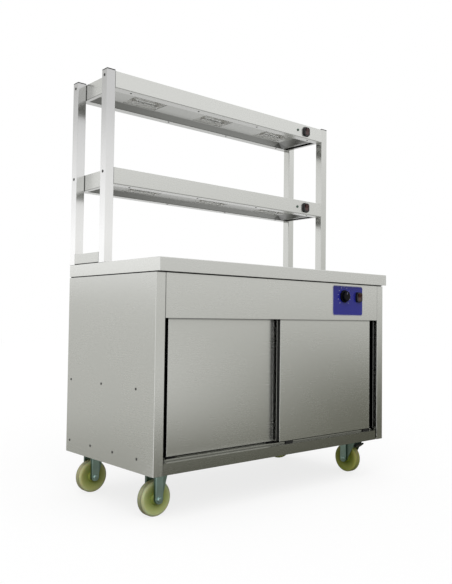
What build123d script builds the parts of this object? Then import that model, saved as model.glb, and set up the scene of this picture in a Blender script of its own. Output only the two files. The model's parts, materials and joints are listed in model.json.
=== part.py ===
from build123d import *
import os
from math import cos, radians, sin

# Mobile hot cupboard: a heated cabinet with two sliding doors, on four castors,
# with a worktop and a two-tier gantry of heat-lamp shelves.
# X runs left to right along the front, Y from front to back, Z up from the floor.
# All sizes are in millimetres.

os.makedirs("parts", exist_ok=True)

# Overall sizes
width = 1265.0
depth = 621.0
worktop_height = 900.0
gantry_rise = 740.0
castor_height = 160.0

# Sheet, clearances and overruns
sheet = 1.5
thin_sheet = 1.2
fit_slip = 0.2
running_slip = 0.05
sliding_gap = 0.4
hole_slip = 0.3
overrun = 5.0

# Worktop
edge_height = 47.0
edge_lip = 20.0
edge_round = 2.0
corner_round = 4.0
seal_height = 4.0
seal_width = 20.0
seal_inset = 4.0

# Cabinet shell
panel_inset = 1.5
front_set_back = 20.0
stile_width = 40.0
stile_return = 14.5
rear_return = 25.0
panel_flange = 30.0
back_recess = 22.0
bend_round = 1.4

# Floor, shelf and base channels
floor_rise = 39.1
floor_flange = 22.0
floor_screw_rise = 6.9
floor_screw_shares = (0.915, 0.399, -0.106, -0.612)
shelf_screw_rise = 246.6
shelf_screw_shares = (0.908, 0.171, -0.573)
screw_head_radius = 4.5
screw_head_height = 1.8
screw_radius = 2.4
screw_length = 12.0
bracket_sheet = 2.0
bracket_leg = 30.0
bracket_drop = 14.0
bracket_front_inset = 90.5
shelf_gap = 4.0
shelf_fold = 22.0
channel_width = 90.0
channel_sheet = 2.0
channel_front_inset = 20.5

# Fascia
fascia_height = 155.0
fascia_gap = 0.5
fascia_bottom_return = 12.5
fascia_top_return = 29.0

# Sliding doors
door_cross = 13.0
door_tuck = 8.0
left_door_gap = 10.0
door_floor_gap = 11.9
door_head_lap = 18.0
door_thickness = 20.0
front_door_set_back = 18.5
door_spacing = 30.0
pull_width = 27.0
pull_depth = 14.0
pull_lip = 12.0
door_round = 1.1
glide_length = 40.0
glide_width = 14.0
glide_inset = 60.0
glide_ride = 0.6

# Bottom rail with its door track, and the upper guide
rail_rise = 0.5
rail_return = 10.0
rail_left_gap = 0.5
rail_right_gap = 10.0
rib_width = 6.0
rib_height = 6.0
rib_overhang = 15.0
stop_width = 3.0
stop_height = 8.5
stop_reach = 7.0
guide_sheet = 1.5
guide_clearance = 2.0
guide_lap = 6.0
guide_head_room = 6.0

# Heating elements and their cover
element_radius = 4.0
element_rise = 25.9
element_leg_shares = ((0.125, 0.35), (0.65, 0.875))
element_overhang = 45.0
terminal_radius = 2.0
terminal_length = 18.0
cover_end_inset = 132.5
cover_front_inset = 130.5
cover_rear_inset = 48.5
cover_rise = 50.9
vent_length = 60.0
vent_width = 8.0
vent_pitch_x = 95.0
vent_pitch_y = 45.0
vent_margin = 25.0

# Control plate, thermostat and knob
plate_right_inset = 153.0
plate_width = 194.5
plate_rise = 22.5
plate_height = 122.0
plate_thickness = 1.5
plate_corner = 8.0
knob_across = 70.0
knob_up = 79.5
knob_radius = 27.0
knob_skirt = 5.0
knob_grip_radius = 22.0
knob_height = 18.0
knob_gap = 0.6
knob_round = 1.5
knob_recess_radius = 8.0
knob_recess_depth = 3.0
spindle_radius = 3.0
spindle_inside = 20.0
knob_wall = 4.0
thermostat_size = 42.0
thermostat_depth = 34.0
bush_radius = 5.0
bush_length = 5.0

# Rocker switches, one kind for the cabinet and both shelves
switch_across = 166.0
switch_up = 78.0
shelf_switch_inset = 115.5
bezel_width = 40.0
bezel_height = 45.0
bezel_chamfer = 8.0
bezel_depth = 10.0
bezel_taper = 12.0
switch_body_width = 24.0
switch_body_height = 36.0
switch_body_depth = 26.0
window_width = 20.8
window_height = 32.0
window_depth = 14.0
rocker_width = 20.0
rocker_radius = 15.6
rocker_pivot_depth = 4.0
rocker_back = 5.0
rocker_valley = 4.5
rocker_face_angle = 25.0
rocker_tilt = 12.0
trunnion_radius = 1.5

# Indicator lamps on the shelves
indicator_spacing = 56.0
indicator_radius = 6.0
indicator_rise = 3.0
indicator_body_radius = 4.5
indicator_body_length = 22.0

# Cable gland and terminal block
gland_inset = 87.5
gland_drop = 49.0
gland_radius = 13.0
gland_flange = 5.0
gland_nose = 12.0
gland_nose_radius = 10.0
gland_bore = 5.0
gland_inside = 12.0
gland_thread_radius = 9.0
terminal_inset = 132.0
terminal_drop = 69.0
terminal_block_width = 70.0
terminal_block_height = 24.0
terminal_block_depth = 22.0
terminal_ways = 5
terminal_hole_radius = 2.5
terminal_hole_depth = 10.0

# Gantry
tube = 38.0
tube_wall = 1.5
tube_round = 2.5
gantry_depth = 260.0
cap_height = 4.0
cap_plug = 10.0
crossbar_rise = 3.0
shelf_height = 65.0
upper_shelf_drop = 70.0
lower_shelf_rise = 300.0
tray_lip = 37.0
tray_end_lip = 15.0
tray_round = 1.0
tray_bolt_rise = 46.0
tray_bolt_inset = 19.0
bolt_head_radius = 5.5
bolt_head_height = 2.0
bolt_radius = 3.0
nut_radius = 5.5
nut_height = 5.0

# Lamp panels, reflectors and lamps
panel_sheet = 1.0
panel_front_inset = 9.0
panel_slope = 37.0
panel_rise = 16.0
panel_right_flat_inset = 114.5
panel_right_mouth_inset = 53.5
panel_right_flange = 14.0
panel_overlap = 2.5
panel_screw_shares = (-0.861, -0.289, 0.283, 0.856)
panel_screw_front = 19.0
panel_screw_rear = 25.5
panel_screw_head_radius = 4.0
panel_screw_head_height = 1.5
panel_screw_radius = 1.9
panel_screw_length = 8.0
lamp_left_inset = 224.5
lamp_right_inset = 223.5
lamp_opening_length = 160.0
lamp_opening_width = 96.0
reflector_rim = 6.0
reflector_depth = 26.0
reflector_top_length = 140.0
reflector_top_width = 60.0
lamp_radius = 5.0
lamp_half_length = 50.0
lamp_pinch_radius = 3.5
lamp_half_overall = 57.0
lamp_rise = 19.0
holder_inner = 53.0
holder_length = 12.0
holder_width = 17.0
holder_below = 7.0
socket_radius = 3.7

# Castors
castor_end_inset = 77.5
castor_front_inset = 120.5
castor_rear_inset = 68.5
wheel_radius = 62.5
wheel_width = 34.0
wheel_edge_round = 7.0
wheel_web_width = 20.0
wheel_rim_radius = 47.0
wheel_hub_radius = 19.0
wheel_hub_width = 44.0
axle_radius = 6.0
axle_head_radius = 9.5
axle_head_height = 6.0
fork_sheet = 3.0
fork_inside = 45.0
fork_leg_end = 17.0
castor_plate_x = 85.0
castor_plate_y = 100.0
castor_plate_sheet = 3.0
castor_bolt_x = 28.0
castor_bolt_y = 36.0
castor_bolt_radius = 4.0
castor_bolt_head_radius = 6.5
castor_bolt_head_height = 4.0
castor_trail = 36.0
race_radius = 31.0
race_height = 8.5
race_gap = 0.3
crown_height = 8.0
king_pin_radius = 6.0
king_nut_radius = 10.0
king_nut_height = 5.0
swivel_leg_top = 54.0
front_right_heading = 90.0
rear_right_heading = 150.0
pedal_pivot_x = -17.0
pedal_pivot_z = 122.0
pedal_tip_x = -37.0
pedal_tip_z = 133.5
pedal_width = 40.0
pedal_pivot_round = 6.0
pedal_tip_round = 4.0
pedal_pin_radius = 3.0

# Places worked out from the sizes above: the cabinet's shell
worktop_under = worktop_height - edge_height
cabinet_top = worktop_under - seal_height
cabinet_bottom = castor_height
panel_x = width / 2 - panel_inset
panel_inner_x = panel_x - sheet
stile_x = panel_x - stile_width
front_y = -depth / 2 + front_set_back
rear_y = depth / 2
back_y = rear_y - back_recess
fascia_back_y = front_y + sheet
fascia_bottom = cabinet_top - fascia_height

# Floor, shelf and base channels
floor_top = castor_height + floor_rise
floor_bottom = floor_top - sheet
floor_screw_height = floor_top + floor_screw_rise
floor_screw_places = [share * depth / 2 for share in floor_screw_shares]
shelf_screw_height = floor_top + shelf_screw_rise
shelf_screw_places = [share * depth / 2 for share in shelf_screw_shares]
shelf_top_z = shelf_screw_height + bracket_drop
bracket_front = front_y + bracket_front_inset
channel_front = front_y + channel_front_inset

# Doors, rail and guide
door_width = stile_x + door_tuck + door_cross
right_door_plain_edge = -door_cross
left_door_plain_edge = -stile_x + left_door_gap + door_width
door_bottom = floor_top + door_floor_gap
door_top = fascia_bottom + door_head_lap
front_door_y = front_y + front_door_set_back
rear_door_y = front_door_y + door_spacing
rail_bottom = castor_height + rail_rise
rail_top = floor_top + sheet
rib_half = stile_x + rib_overhang
stop_place = stile_x + door_tuck - glide_inset + glide_length / 2 + stop_reach
guide_bottom = fascia_bottom + guide_lap
guide_top = door_top + guide_head_room

# Heating elements and their cover
cover_half_length = width / 2 - cover_end_inset
cover_front = front_y + cover_front_inset
cover_rear = back_y - cover_rear_inset
cover_top = floor_top + cover_rise
element_height = floor_top + element_rise
element_legs = [
    [cover_front + share * (cover_rear - cover_front) for share in pair_shares] for pair_shares in element_leg_shares
]
element_bend_end = -cover_half_length - element_overhang
element_terminal_end = cover_half_length + element_overhang

# Controls, gland and terminal block
plate_left = width / 2 - plate_right_inset - plate_width
plate_bottom = fascia_bottom + plate_rise
plate_front_y = front_y - plate_thickness
knob_x = plate_left + knob_across
knob_z = plate_bottom + knob_up
main_switch_x = plate_left + switch_across
main_switch_z = plate_bottom + switch_up
gland_x = width / 2 - gland_inset
gland_z = cabinet_top - gland_drop
terminal_x = plate_left - terminal_inset
terminal_z = cabinet_top - terminal_drop

# Gantry, shelves and lamps
gantry_front_y = rear_y - gantry_depth
post_x = width / 2 - tube / 2
post_front_y = gantry_front_y + tube / 2
post_rear_y = rear_y - tube / 2
tray_half = width / 2 - tube
upper_shelf_bottom = worktop_height + gantry_rise - upper_shelf_drop
lower_shelf_bottom = worktop_height + lower_shelf_rise
shelf_switch_x = tray_half - shelf_switch_inset
indicator_x = shelf_switch_x - indicator_spacing
panel_right_flat = tray_half - panel_right_flat_inset
panel_right_mouth = tray_half - panel_right_mouth_inset
panel_screw_places = [share * tray_half for share in panel_screw_shares]
lamp_places = (-tray_half + lamp_left_inset, 0, tray_half - lamp_right_inset)

# Castors
castor_x = width / 2 - castor_end_inset
castor_places = (-depth / 2 + castor_front_inset, depth / 2 - castor_rear_inset)
plate_bottom_z = castor_height - castor_plate_sheet


def keep(name, builder):
    """Label a finished piece and write its STEP file."""
    builder.part.label = name
    export_step(builder.part, "parts/" + name + ".step")


def fold(points, gauge):
    """Draw square-folded sheet in a sketch: one strip of the gauge along each leg of its mid-line."""
    for (x0, y0), (x1, y1) in zip(points, points[1:]):
        with Locations(((x0 + x1) / 2, (y0 + y1) / 2)):
            Rectangle(abs(x1 - x0) + gauge, abs(y1 - y0) + gauge)


def area(x0, x1, y0, y1, mode=Mode.ADD):
    """Draw a rectangle in a sketch from its four sides."""
    with Locations(((x0 + x1) / 2, (y0 + y1) / 2)):
        Rectangle(abs(x1 - x0), abs(y1 - y0), mode=mode)


def front_plane(y):
    """A plane facing the front at this y: its own x is x, its own y is z."""
    return Plane.XZ.offset(-y)


def side_plane(x):
    """A plane facing right at this x: its own x is y, its own y is z."""
    return Plane.YZ.offset(x)


# Worktop: a folded tray with a turned-down edge and a lip under it
with BuildPart() as worktop:
    with BuildSketch(Plane.XY.offset(worktop_under)) as top_outline:
        Rectangle(width, depth)
        fillet(top_outline.vertices(), corner_round)
    extrude(amount=edge_height)
    fillet(worktop.faces().sort_by(Axis.Z)[-1].edges(), edge_round)
    with BuildSketch(Plane.XY.offset(worktop_under + sheet)):
        Rectangle(width - 2 * sheet, depth - 2 * sheet)
    extrude(amount=edge_height - 2 * sheet, mode=Mode.SUBTRACT)
    with BuildSketch(Plane.XY.offset(worktop_under)):
        Rectangle(width - 2 * edge_lip, depth - 2 * edge_lip)
    extrude(amount=edge_height / 2, mode=Mode.SUBTRACT)
keep("worktop", worktop)

# Worktop seal: four strips that stand the worktop off the cabinet
seal_x = panel_x - seal_inset
seal_front = front_y + seal_inset
seal_rear = rear_y - seal_inset
with BuildPart() as worktop_seal:
    with BuildSketch(Plane.XY.offset(cabinet_top)):
        area(-seal_x, -seal_x + seal_width, seal_front, seal_rear)
        area(seal_x - seal_width, seal_x, seal_front, seal_rear)
        area(-seal_x + seal_width + fit_slip, seal_x - seal_width - fit_slip, seal_front, seal_front + seal_width)
        area(-seal_x + seal_width + fit_slip, seal_x - seal_width - fit_slip, seal_rear - seal_width, seal_rear)
    extrude(amount=seal_height)
keep("worktop_seal", worktop_seal)

# Side panels: one sheet each, folded into the front stile, the rear return and two flanges
side_screw_places = [(y, floor_screw_height) for y in floor_screw_places]
side_screw_places += [(y, shelf_screw_height) for y in shelf_screw_places]
for side, panel_name in ((-1, "left_side_panel"), (1, "right_side_panel")):
    with BuildPart() as side_panel:
        with BuildSketch(Plane.XY.offset(cabinet_bottom)) as panel_plan:
            fold(
                [
                    (side * (stile_x + sheet / 2), front_y + stile_return - sheet / 2),
                    (side * (stile_x + sheet / 2), front_y + sheet / 2),
                    (side * (panel_x - sheet / 2), front_y + sheet / 2),
                    (side * (panel_x - sheet / 2), rear_y - sheet / 2),
                    (side * (panel_x - rear_return + sheet / 2), rear_y - sheet / 2),
                ],
                sheet,
            )
            stile_edge = panel_plan.vertices().sort_by(Axis.Y)[:2]
            fillet(stile_edge, bend_round)
        extrude(amount=cabinet_top - cabinet_bottom)
        for flange_z in (cabinet_bottom, cabinet_top - sheet):
            with BuildSketch(Plane.XY.offset(flange_z)):
                area(side * (panel_x - panel_flange), side * (panel_x - sheet / 2), front_y + sheet / 2, back_y)
            extrude(amount=sheet)
        with BuildSketch(side_plane(side * (panel_x - sheet - overrun))):
            with Locations(*side_screw_places):
                Circle(screw_radius + hole_slip)
        extrude(amount=side * (sheet + 2 * overrun), mode=Mode.SUBTRACT)
    keep(panel_name, side_panel)

# Back panel: a shallow pan set in between the side panels
with BuildPart() as back_panel:
    with BuildSketch(front_plane(back_y)):
        area(-panel_inner_x, panel_inner_x, cabinet_bottom, cabinet_top)
    extrude(amount=-sheet)
    with BuildSketch(front_plane(back_y)):
        area(-panel_inner_x, panel_inner_x, cabinet_bottom, cabinet_top)
        area(-panel_inner_x + sheet, panel_inner_x - sheet, cabinet_bottom + sheet, cabinet_top - sheet, Mode.SUBTRACT)
    extrude(amount=-(rear_y - sheet - back_y))
    with BuildSketch(front_plane(back_y - overrun)):
        with Locations((gland_x, gland_z)):
            Circle(gland_thread_radius + hole_slip)
    extrude(amount=-(sheet + 2 * overrun), mode=Mode.SUBTRACT)
keep("back_panel", back_panel)

# Cabinet floor: a flat sheet with a flange up each side for the side screws
track_rear = rear_door_y + door_thickness + front_door_set_back - stile_return + guide_clearance
with BuildPart() as cabinet_floor:
    with BuildSketch(Plane.XY.offset(floor_bottom)):
        area(-panel_inner_x, panel_inner_x, front_y + stile_return + guide_clearance, back_y)
    extrude(amount=sheet)
    for side in (-1, 1):
        with BuildSketch(Plane.XY.offset(floor_bottom)):
            area(side * (panel_inner_x - sheet), side * panel_inner_x, track_rear + guide_clearance, back_y)
        extrude(amount=sheet + floor_flange)
        with BuildSketch(side_plane(side * (panel_inner_x - overrun))):
            with Locations(*[(y, floor_screw_height) for y in floor_screw_places]):
                Circle(screw_radius + hole_slip)
        extrude(amount=side * 2 * overrun, mode=Mode.SUBTRACT)
keep("cabinet_floor", cabinet_floor)

# Base channels: two folded channels under the floor that carry the castors
castor_bolt_places = [
    (side * castor_x + dx, y + dy)
    for side in (-1, 1)
    for y in castor_places
    for dx in (-castor_bolt_x, castor_bolt_x)
    for dy in (-castor_bolt_y, castor_bolt_y)
]
channel_half = channel_width / 2
with BuildPart() as base_channels:
    for side in (-1, 1):
        with BuildSketch(Plane.XZ.offset(-back_y + fit_slip)):
            fold(
                [
                    (side * castor_x - channel_half + channel_sheet / 2, floor_bottom - channel_sheet / 2),
                    (side * castor_x - channel_half + channel_sheet / 2, cabinet_bottom + channel_sheet / 2),
                    (side * castor_x + channel_half - channel_sheet / 2, cabinet_bottom + channel_sheet / 2),
                    (side * castor_x + channel_half - channel_sheet / 2, floor_bottom - channel_sheet / 2),
                ],
                channel_sheet,
            )
        extrude(amount=back_y - fit_slip - channel_front)
    with BuildSketch(Plane.XY.offset(cabinet_bottom - overrun)):
        with Locations(*castor_bolt_places):
            Circle(castor_bolt_radius + hole_slip)
    extrude(amount=channel_sheet + 2 * overrun, mode=Mode.SUBTRACT)
keep("base_channels", base_channels)

# Shelf brackets: an angle screwed to each side panel
with BuildPart() as shelf_brackets:
    for side in (-1, 1):
        with BuildSketch(Plane.XZ.offset(-back_y)):
            fold(
                [
                    (side * (panel_inner_x - bracket_leg + bracket_sheet / 2), shelf_top_z - bracket_sheet / 2),
                    (side * (panel_inner_x - bracket_sheet / 2), shelf_top_z - bracket_sheet / 2),
                    (side * (panel_inner_x - bracket_sheet / 2), shelf_top_z - bracket_leg + bracket_sheet / 2),
                ],
                bracket_sheet,
            )
        extrude(amount=back_y - bracket_front)
        with BuildSketch(side_plane(side * (panel_inner_x - overrun))):
            with Locations(*[(y, shelf_screw_height) for y in shelf_screw_places]):
                Circle(screw_radius + hole_slip)
        extrude(amount=side * 2 * overrun, mode=Mode.SUBTRACT)
keep("shelf_brackets", shelf_brackets)

# Inner shelf: a loose sheet with its front and rear edges folded down
shelf_half = panel_inner_x - shelf_gap
shelf_rear = back_y - shelf_gap
drop_half = panel_inner_x - bracket_leg - shelf_gap
with BuildPart() as inner_shelf:
    with BuildSketch(Plane.XY.offset(shelf_top_z)):
        area(-shelf_half, shelf_half, bracket_front, shelf_rear)
    extrude(amount=sheet)
    for fold_y in (bracket_front, shelf_rear - sheet):
        with BuildSketch(Plane.XY.offset(shelf_top_z + sheet)):
            area(-drop_half, drop_half, fold_y, fold_y + sheet)
        extrude(amount=-shelf_fold)
keep("inner_shelf", inner_shelf)

# Control fascia: a folded panel between the stiles, above the doors
fascia_half = stile_x - fascia_gap
with BuildPart() as control_fascia:
    with BuildSketch(front_plane(fascia_back_y)):
        area(-fascia_half, fascia_half, fascia_bottom, cabinet_top)
    extrude(amount=sheet)
    with BuildSketch(Plane.XY.offset(fascia_bottom)):
        area(-fascia_half, fascia_half, front_y, front_y + fascia_bottom_return)
    extrude(amount=sheet)
    with BuildSketch(Plane.XY.offset(cabinet_top - sheet)):
        area(-fascia_half, fascia_half, front_y, front_y + fascia_top_return)
    extrude(amount=sheet)
    for side in (-1, 1):
        with BuildSketch(Plane.XY.offset(fascia_bottom)):
            area(side * (fascia_half - sheet), side * fascia_half, front_y, front_y + fascia_bottom_return)
        extrude(amount=cabinet_top - fascia_bottom)
    with BuildSketch(front_plane(fascia_back_y + overrun)):
        with Locations((knob_x, knob_z)):
            Circle(bush_radius + hole_slip)
        with Locations((main_switch_x, main_switch_z)):
            Rectangle(switch_body_width + 2 * hole_slip, switch_body_height + 2 * hole_slip)
    extrude(amount=sheet + 2 * overrun, mode=Mode.SUBTRACT)
keep("control_fascia", control_fascia)

# Bottom rail: the strip under the doors, with the door track and its end stops on top
rail_left = -stile_x + rail_left_gap
rail_right = stile_x - rail_right_gap
track_front = front_y + stile_return + guide_clearance
rib_centres = (front_door_y + door_thickness / 2, rear_door_y + door_thickness / 2)
with BuildPart() as bottom_rail:
    with BuildSketch(side_plane(rail_left)):
        fold(
            [
                (front_y + rail_return - sheet / 2, rail_bottom + sheet / 2),
                (front_y + sheet / 2, rail_bottom + sheet / 2),
                (front_y + sheet / 2, rail_top - sheet / 2),
                (track_front + sheet / 2, rail_top - sheet / 2),
            ],
            sheet,
        )
    extrude(amount=rail_right - rail_left)
    with BuildSketch(Plane.XY.offset(floor_top)):
        area(-panel_inner_x, panel_inner_x, track_front, track_rear)
    extrude(amount=rail_top - floor_top)
    for rib_y in rib_centres:
        with BuildSketch(Plane.XY.offset(rail_top)):
            area(-rib_half, rib_half, rib_y - rib_width / 2, rib_y + rib_width / 2)
        extrude(amount=rib_height)
        for side in (-1, 1):
            with BuildSketch(Plane.XY.offset(rail_top)):
                area(side * stop_place, side * (stop_place + stop_width), rib_y - rib_width, rib_y + rib_width)
            extrude(amount=stop_height)
keep("bottom_rail", bottom_rail)

# Upper door guide: two downward channels behind the fascia
front_channel = (front_door_y - guide_clearance, front_door_y + door_thickness + guide_clearance)
rear_channel = (rear_door_y - guide_clearance, rear_door_y + door_thickness + guide_clearance)
tongue_half = fascia_half - sheet - fit_slip
with BuildPart() as upper_door_guide:
    with BuildSketch(Plane.XY.offset(guide_bottom)):
        area(-panel_inner_x, panel_inner_x, front_channel[0] - guide_sheet, rear_channel[1] + guide_sheet)
    extrude(amount=guide_top + guide_sheet - guide_bottom)
    for low_y, high_y in (front_channel, rear_channel):
        with BuildSketch(Plane.XY.offset(guide_bottom)):
            area(-panel_inner_x, panel_inner_x, low_y, high_y)
        extrude(amount=guide_top - guide_bottom, mode=Mode.SUBTRACT)
    with BuildSketch(Plane.XY.offset(guide_top)):
        area(-tongue_half, tongue_half, fascia_back_y, front_channel[0])
    extrude(amount=guide_sheet)
keep("upper_door_guide", upper_door_guide)

# Sliding doors: an outer pan, a strip and a folded lip for the full-height finger pull, an inner cover and two glides
pull_start = door_width - pull_lip - pull_width
door_kinds = (("left", -1, left_door_plain_edge, rear_door_y), ("right", 1, right_door_plain_edge, front_door_y))
half_gauge = thin_sheet / 2
for door, way, plain_x, face_y in door_kinds:
    cover_y = face_y + door_thickness - thin_sheet
    pull_back_y = face_y + pull_depth - half_gauge
    pan_end_x = plain_x + way * (pull_start - half_gauge)
    lip_start_x = plain_x + way * (pull_start + pull_width + half_gauge)
    lip_end_x = plain_x + way * (door_width - half_gauge)
    strip_start_x = pan_end_x + way * (half_gauge + fit_slip)
    strip_end_x = lip_start_x - way * (half_gauge + fit_slip)
    pan_points = [
        (plain_x + way * half_gauge, cover_y - half_gauge),
        (plain_x + way * half_gauge, face_y + half_gauge),
        (pan_end_x, face_y + half_gauge),
        (pan_end_x, pull_back_y - thin_sheet - fit_slip),
    ]
    lip_points = [
        (lip_start_x, pull_back_y - thin_sheet - fit_slip),
        (lip_start_x, face_y + half_gauge),
        (lip_end_x, face_y + half_gauge),
        (lip_end_x, cover_y - half_gauge),
    ]
    with BuildPart() as door_outer:
        with BuildSketch(Plane.XY.offset(door_bottom)):
            fold([(strip_start_x, pull_back_y), (strip_end_x, pull_back_y)], thin_sheet)
        extrude(amount=door_top - door_bottom)
        for section_points in (pan_points, lip_points):
            with BuildSketch(Plane.XY.offset(door_bottom)) as door_plan:
                fold(section_points, thin_sheet)
                fillet(door_plan.vertices().group_by(Axis.Y)[0], door_round)
            extrude(amount=door_top - door_bottom)
        for cap_z in (door_bottom, door_top - thin_sheet):
            with BuildSketch(Plane.XY.offset(cap_z)):
                area(plain_x + way * half_gauge, pan_end_x, face_y + half_gauge, cover_y)
                area(lip_start_x, lip_end_x, face_y + half_gauge, cover_y)
            extrude(amount=thin_sheet)
    keep("door_" + door + "_outer", door_outer)

    with BuildPart() as door_inner:
        with BuildSketch(front_plane(cover_y)):
            area(plain_x, plain_x + way * door_width, door_bottom, door_top)
        extrude(amount=-thin_sheet)
    keep("door_" + door + "_inner", door_inner)

    rib_y = face_y + door_thickness / 2
    glide_bottom = rail_top + glide_ride
    with BuildPart() as door_glides:
        for glide_u in (glide_inset, door_width - glide_inset):
            with BuildSketch(side_plane(plain_x + way * glide_u - glide_length / 2)):
                area(rib_y - glide_width / 2, rib_y + glide_width / 2, glide_bottom, door_bottom)
                area(
                    rib_y - rib_width / 2 - sliding_gap,
                    rib_y + rib_width / 2 + sliding_gap,
                    glide_bottom,
                    rail_top + rib_height + sliding_gap,
                    Mode.SUBTRACT,
                )
            extrude(amount=glide_length)
    keep("door_" + door + "_glides", door_glides)

# Heating elements: two hairpins of sheathed tube lying along the floor
with BuildPart() as heating_elements:
    for leg_front, leg_rear in element_legs:
        bend = (leg_rear - leg_front) / 2
        with BuildLine(Plane.XY.offset(element_height)) as hairpin:
            Line((element_terminal_end, leg_front), (element_bend_end + bend, leg_front))
            ThreePointArc(
                (element_bend_end + bend, leg_front),
                (element_bend_end, (leg_front + leg_rear) / 2),
                (element_bend_end + bend, leg_rear),
            )
            Line((element_bend_end + bend, leg_rear), (element_terminal_end, leg_rear))
        with BuildSketch(side_plane(element_terminal_end)):
            with Locations((leg_front, element_height)):
                Circle(element_radius)
        sweep(path=hairpin.wire())
        with BuildSketch(side_plane(element_terminal_end)):
            with Locations((leg_front, element_height), (leg_rear, element_height)):
                Circle(terminal_radius)
        extrude(amount=terminal_length)
keep("heating_elements", heating_elements)

# Element cover: a vented sheet bridge whose end walls carry the elements
leg_places = [(y, element_height) for pair in element_legs for y in pair]
vent_columns = int((2 * cover_half_length - 2 * vent_margin) // vent_pitch_x)
vent_rows = int((cover_rear - cover_front - 2 * vent_margin) // vent_pitch_y)
with BuildPart() as element_cover:
    with BuildSketch(Plane.XZ.offset(-cover_rear)):
        fold(
            [
                (-cover_half_length + sheet / 2, floor_top + sheet / 2),
                (-cover_half_length + sheet / 2, cover_top - sheet / 2),
                (cover_half_length - sheet / 2, cover_top - sheet / 2),
                (cover_half_length - sheet / 2, floor_top + sheet / 2),
            ],
            sheet,
        )
    extrude(amount=cover_rear - cover_front)
    with BuildSketch(side_plane(-cover_half_length - overrun)):
        with Locations(*leg_places):
            Circle(element_radius + hole_slip)
    extrude(amount=2 * (cover_half_length + overrun), mode=Mode.SUBTRACT)
    with BuildSketch(Plane.XY.offset(cover_top - sheet - overrun)):
        with Locations((0, (cover_front + cover_rear) / 2)):
            with GridLocations(vent_pitch_x, vent_pitch_y, vent_columns, vent_rows):
                SlotOverall(vent_length, vent_width)
    extrude(amount=sheet + 2 * overrun, mode=Mode.SUBTRACT)
keep("element_cover", element_cover)

# Control plate: a thin rounded plate on the fascia
with BuildPart() as control_plate:
    with BuildSketch(front_plane(front_y)) as plate_outline:
        area(plate_left, plate_left + plate_width, plate_bottom, plate_bottom + plate_height)
        fillet(plate_outline.vertices(), plate_corner)
        with Locations((knob_x, knob_z)):
            Circle(bush_radius + hole_slip, mode=Mode.SUBTRACT)
        with Locations((main_switch_x, main_switch_z)):
            Rectangle(
                switch_body_width + 2 * hole_slip,
                switch_body_height + 2 * hole_slip,
                mode=Mode.SUBTRACT,
            )
    extrude(amount=plate_thickness)
keep("control_plate", control_plate)

# Thermostat: its body behind the fascia, with a threaded bush through fascia and plate
with BuildPart() as thermostat_body:
    with BuildSketch(front_plane(fascia_back_y)) as thermostat_outline:
        with Locations((knob_x, knob_z)):
            Rectangle(thermostat_size, thermostat_size)
        fillet(thermostat_outline.vertices(), plate_corner)
    extrude(amount=-thermostat_depth)
    with BuildSketch(front_plane(fascia_back_y)):
        with Locations((knob_x, knob_z)):
            Circle(bush_radius)
    extrude(amount=bush_length)
    with BuildSketch(front_plane(fascia_back_y + spindle_inside)):
        with Locations((knob_x, knob_z)):
            Circle(spindle_radius + running_slip)
    extrude(amount=spindle_inside + bush_length, mode=Mode.SUBTRACT)
keep("thermostat_body", thermostat_body)

# Thermostat knob with its spindle, turned about the spindle's axis
knob_back_y = plate_front_y - knob_gap
knob_front_y = knob_back_y - knob_height + knob_gap
spindle_end_y = fascia_back_y + spindle_inside - running_slip
with BuildPart() as thermostat_knob:
    with BuildSketch(front_plane(knob_back_y)):
        with Locations((knob_x, knob_z)):
            Circle(knob_radius)
    extrude(amount=knob_skirt)
    with BuildSketch(front_plane(knob_back_y - knob_skirt)):
        with Locations((knob_x, knob_z)):
            Circle(knob_grip_radius)
    extrude(amount=knob_back_y - knob_skirt - knob_front_y)
    fillet(thermostat_knob.faces().sort_by(Axis.Y)[0].edges(), knob_round)
    with BuildSketch(front_plane(knob_back_y)):
        with Locations((knob_x, knob_z)):
            Circle(knob_recess_radius)
    extrude(amount=knob_recess_depth, mode=Mode.SUBTRACT)
    with BuildSketch(front_plane(spindle_end_y)):
        with Locations((knob_x, knob_z)):
            Circle(spindle_radius)
    extrude(amount=spindle_end_y - knob_back_y + knob_recess_depth + knob_wall)
keep("thermostat_knob", thermostat_knob)


def switch_body(face_y, x, z):
    """A rocker switch's bezel on a face at face_y, its body behind and the window for the rocker."""
    with BuildSketch(front_plane(face_y)) as bezel:
        with Locations((x, z)):
            Rectangle(bezel_width, bezel_height)
        chamfer(bezel.vertices(), bezel_chamfer)
    extrude(bezel.sketch, amount=bezel_depth, taper=bezel_taper)
    with BuildSketch(front_plane(face_y)) as profile:
        with Locations((x, z)):
            Rectangle(switch_body_width, switch_body_height)
    extrude(profile.sketch, amount=-switch_body_depth)
    with BuildSketch(front_plane(face_y - bezel_depth + window_depth)) as profile:
        with Locations((x, z)):
            Rectangle(window_width, window_height)
    extrude(profile.sketch, amount=window_depth + overrun, mode=Mode.SUBTRACT)
    with BuildSketch(side_plane(x - switch_body_width / 2)) as profile:
        with Locations((face_y - bezel_depth + rocker_pivot_depth, z)):
            Circle(trunnion_radius + running_slip)
    extrude(profile.sketch, amount=switch_body_width, mode=Mode.SUBTRACT)


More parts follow.
